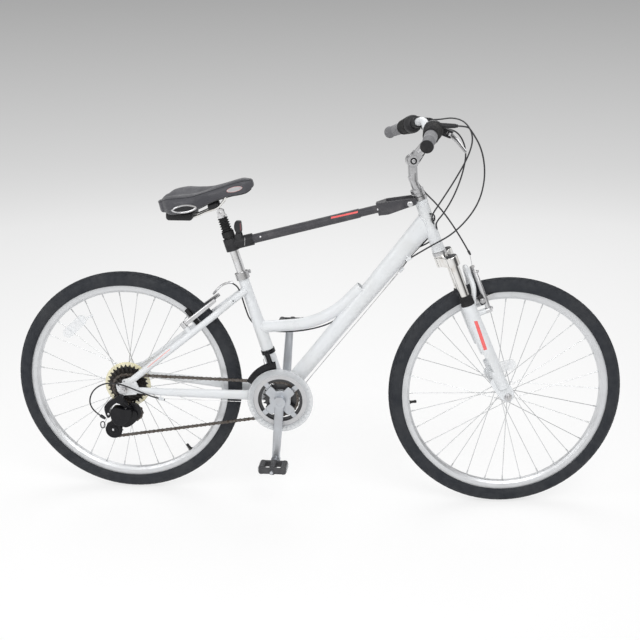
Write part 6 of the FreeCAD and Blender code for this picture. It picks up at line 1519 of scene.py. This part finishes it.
def floor_material():
    """Floor from white to grey with distance, under a soft shadow. Rays of light see it plain."""
    surface = Surface("floor", (0.8, 0.8, 0.8), roughness=0.7)
    surface.mottle(1.5, 3.0, 0.4, 0.7, 0.3, (0.77, 0.77, 0.775))
    nearness = surface.math("DIVIDE", 3.56, surface.math("ADD", surface.radius_from((0, 0, 0)), 2.99))
    ramp = surface.add("ShaderNodeValToRGB")
    ramp.color_ramp.elements[0].color = (0.44, 0.44, 0.44, 1)
    ramp.color_ramp.elements[1].position = 0.93
    ramp.color_ramp.elements[1].color = (1, 1, 1, 1)
    ramp.color_ramp.elements.new(0.5).color = (0.88, 0.88, 0.88, 1)
    surface.link(nearness, ramp.inputs[0])
    glow = surface.add("ShaderNodeEmission")
    surface.link(ramp.outputs[0], glow.inputs["Color"])
    matte = surface.add("ShaderNodeBsdfDiffuse")
    surface.link(ramp.outputs[0], matte.inputs["Color"])
    shown = surface.add("ShaderNodeMixShader")
    shown.inputs[0].default_value = shadow_share
    surface.link(glow.outputs[0], shown.inputs[1])
    surface.link(matte.outputs[0], shown.inputs[2])
    path = surface.add("ShaderNodeLightPath")
    looked_at = surface.math("MAXIMUM", path.outputs["Is Camera Ray"], path.outputs["Is Glossy Ray"])
    looked_at = surface.math("MAXIMUM", looked_at, path.outputs["Is Transmission Ray"])
    either = surface.add("ShaderNodeMixShader")
    surface.link(looked_at, either.inputs[0])
    surface.link(surface.shader.outputs[0], either.inputs[1])
    surface.link(shown.outputs[0], either.inputs[2])
    surface.link(either.outputs[0], surface.tree.nodes["Material Output"].inputs["Surface"])
    return surface.material


def studio():
    """Light from all round: pale panels with darker gaps between them, which draw streaks on bright metal."""
    world = bpy.data.worlds.new("studio")
    bpy.context.scene.world = world
    world.use_nodes = True
    tree = world.node_tree

    def node(kind, inputs, **values):
        made = tree.nodes.new(kind)
        for name, value in values.items():
            setattr(made, name, value)
        for socket, value in zip(made.inputs, inputs):
            if isinstance(value, (int, float)):
                socket.default_value = value
            else:
                tree.links.new(value, socket)
        return made.outputs

    def mix(share, first, second):
        made = tree.nodes.new("ShaderNodeMix")
        tree.links.new(share, made.inputs[0])
        tree.links.new(first, made.inputs[2])
        made.inputs[3].default_value = second
        return made.outputs[0]

    coordinates = tree.nodes.new("ShaderNodeTexCoord")
    split = node("ShaderNodeSeparateXYZ", [coordinates.outputs["Generated"]])
    around = node("ShaderNodeMath", [split["Y"], split["X"]], operation="ARCTAN2")
    turns = node("ShaderNodeMath", [around[0], panels_per_turn], operation="MULTIPLY")
    wave = node("ShaderNodeMath", [turns[0]], operation="SINE")
    panels = node(
        "ShaderNodeMapRange", [wave[0], -0.6, 0.5, panel_dark, panel_light], interpolation_type="SMOOTHSTEP",
    )
    high = node("ShaderNodeMapRange", [split["Z"], 0.55, 0.9, 0.0, 1.0])
    path = tree.nodes.new("ShaderNodeLightPath")
    shown = mix(path.outputs["Is Camera Ray"], mix(high[0], panels[0], panel_top), sky_level)
    background = tree.nodes["Background"].inputs
    tree.links.new(shown, background["Strength"])
    background["Color"].default_value = (1, 1, 1, 1)


def stage():
    corners = [(x * floor_half, y * floor_half, 0) for x, y in ((-1, -1), (1, -1), (1, 1), (-1, 1))]
    as_object("floor", corners, [(0, 1, 2, 3)], floor_material())
    studio()


def lamp(name, place, size, power):
    """Square lamp that looks at the middle of the bike."""
    data = bpy.data.lights.new(name, "AREA")
    data.size = size
    data.energy = power
    holder = bpy.data.objects.new(name, data)
    holder.location = place
    holder.rotation_mode = "QUATERNION"
    holder.rotation_quaternion = (Vector((0, 0, 0.5)) - Vector(place)).to_track_quat("-Z", "Y")
    bpy.context.scene.collection.objects.link(holder)


def camera():
    data = bpy.data.cameras.new("camera")
    data.sensor_width = sensor_width
    data.lens = focal_pixels / image_pixels * sensor_width
    data.clip_end = 1000.0
    holder = bpy.data.objects.new("camera", data)
    axes = Matrix((camera_right, -camera_down, -camera_ahead)).transposed()
    holder.matrix_world = Matrix.Translation(camera_place) @ axes.to_4x4()
    bpy.context.scene.collection.objects.link(holder)
    bpy.context.scene.camera = holder


stage()
lamp("key", (1.5, -3.2, 3.6), 3.0, 95.0)
lamp("fill", (-2.8, -2.2, 2.4), 2.5, 45.0)
lamp("back", (0.0, 3.0, 3.4), 3.0, 55.0)
camera()
bpy.context.scene.view_settings.view_transform = "Standard"
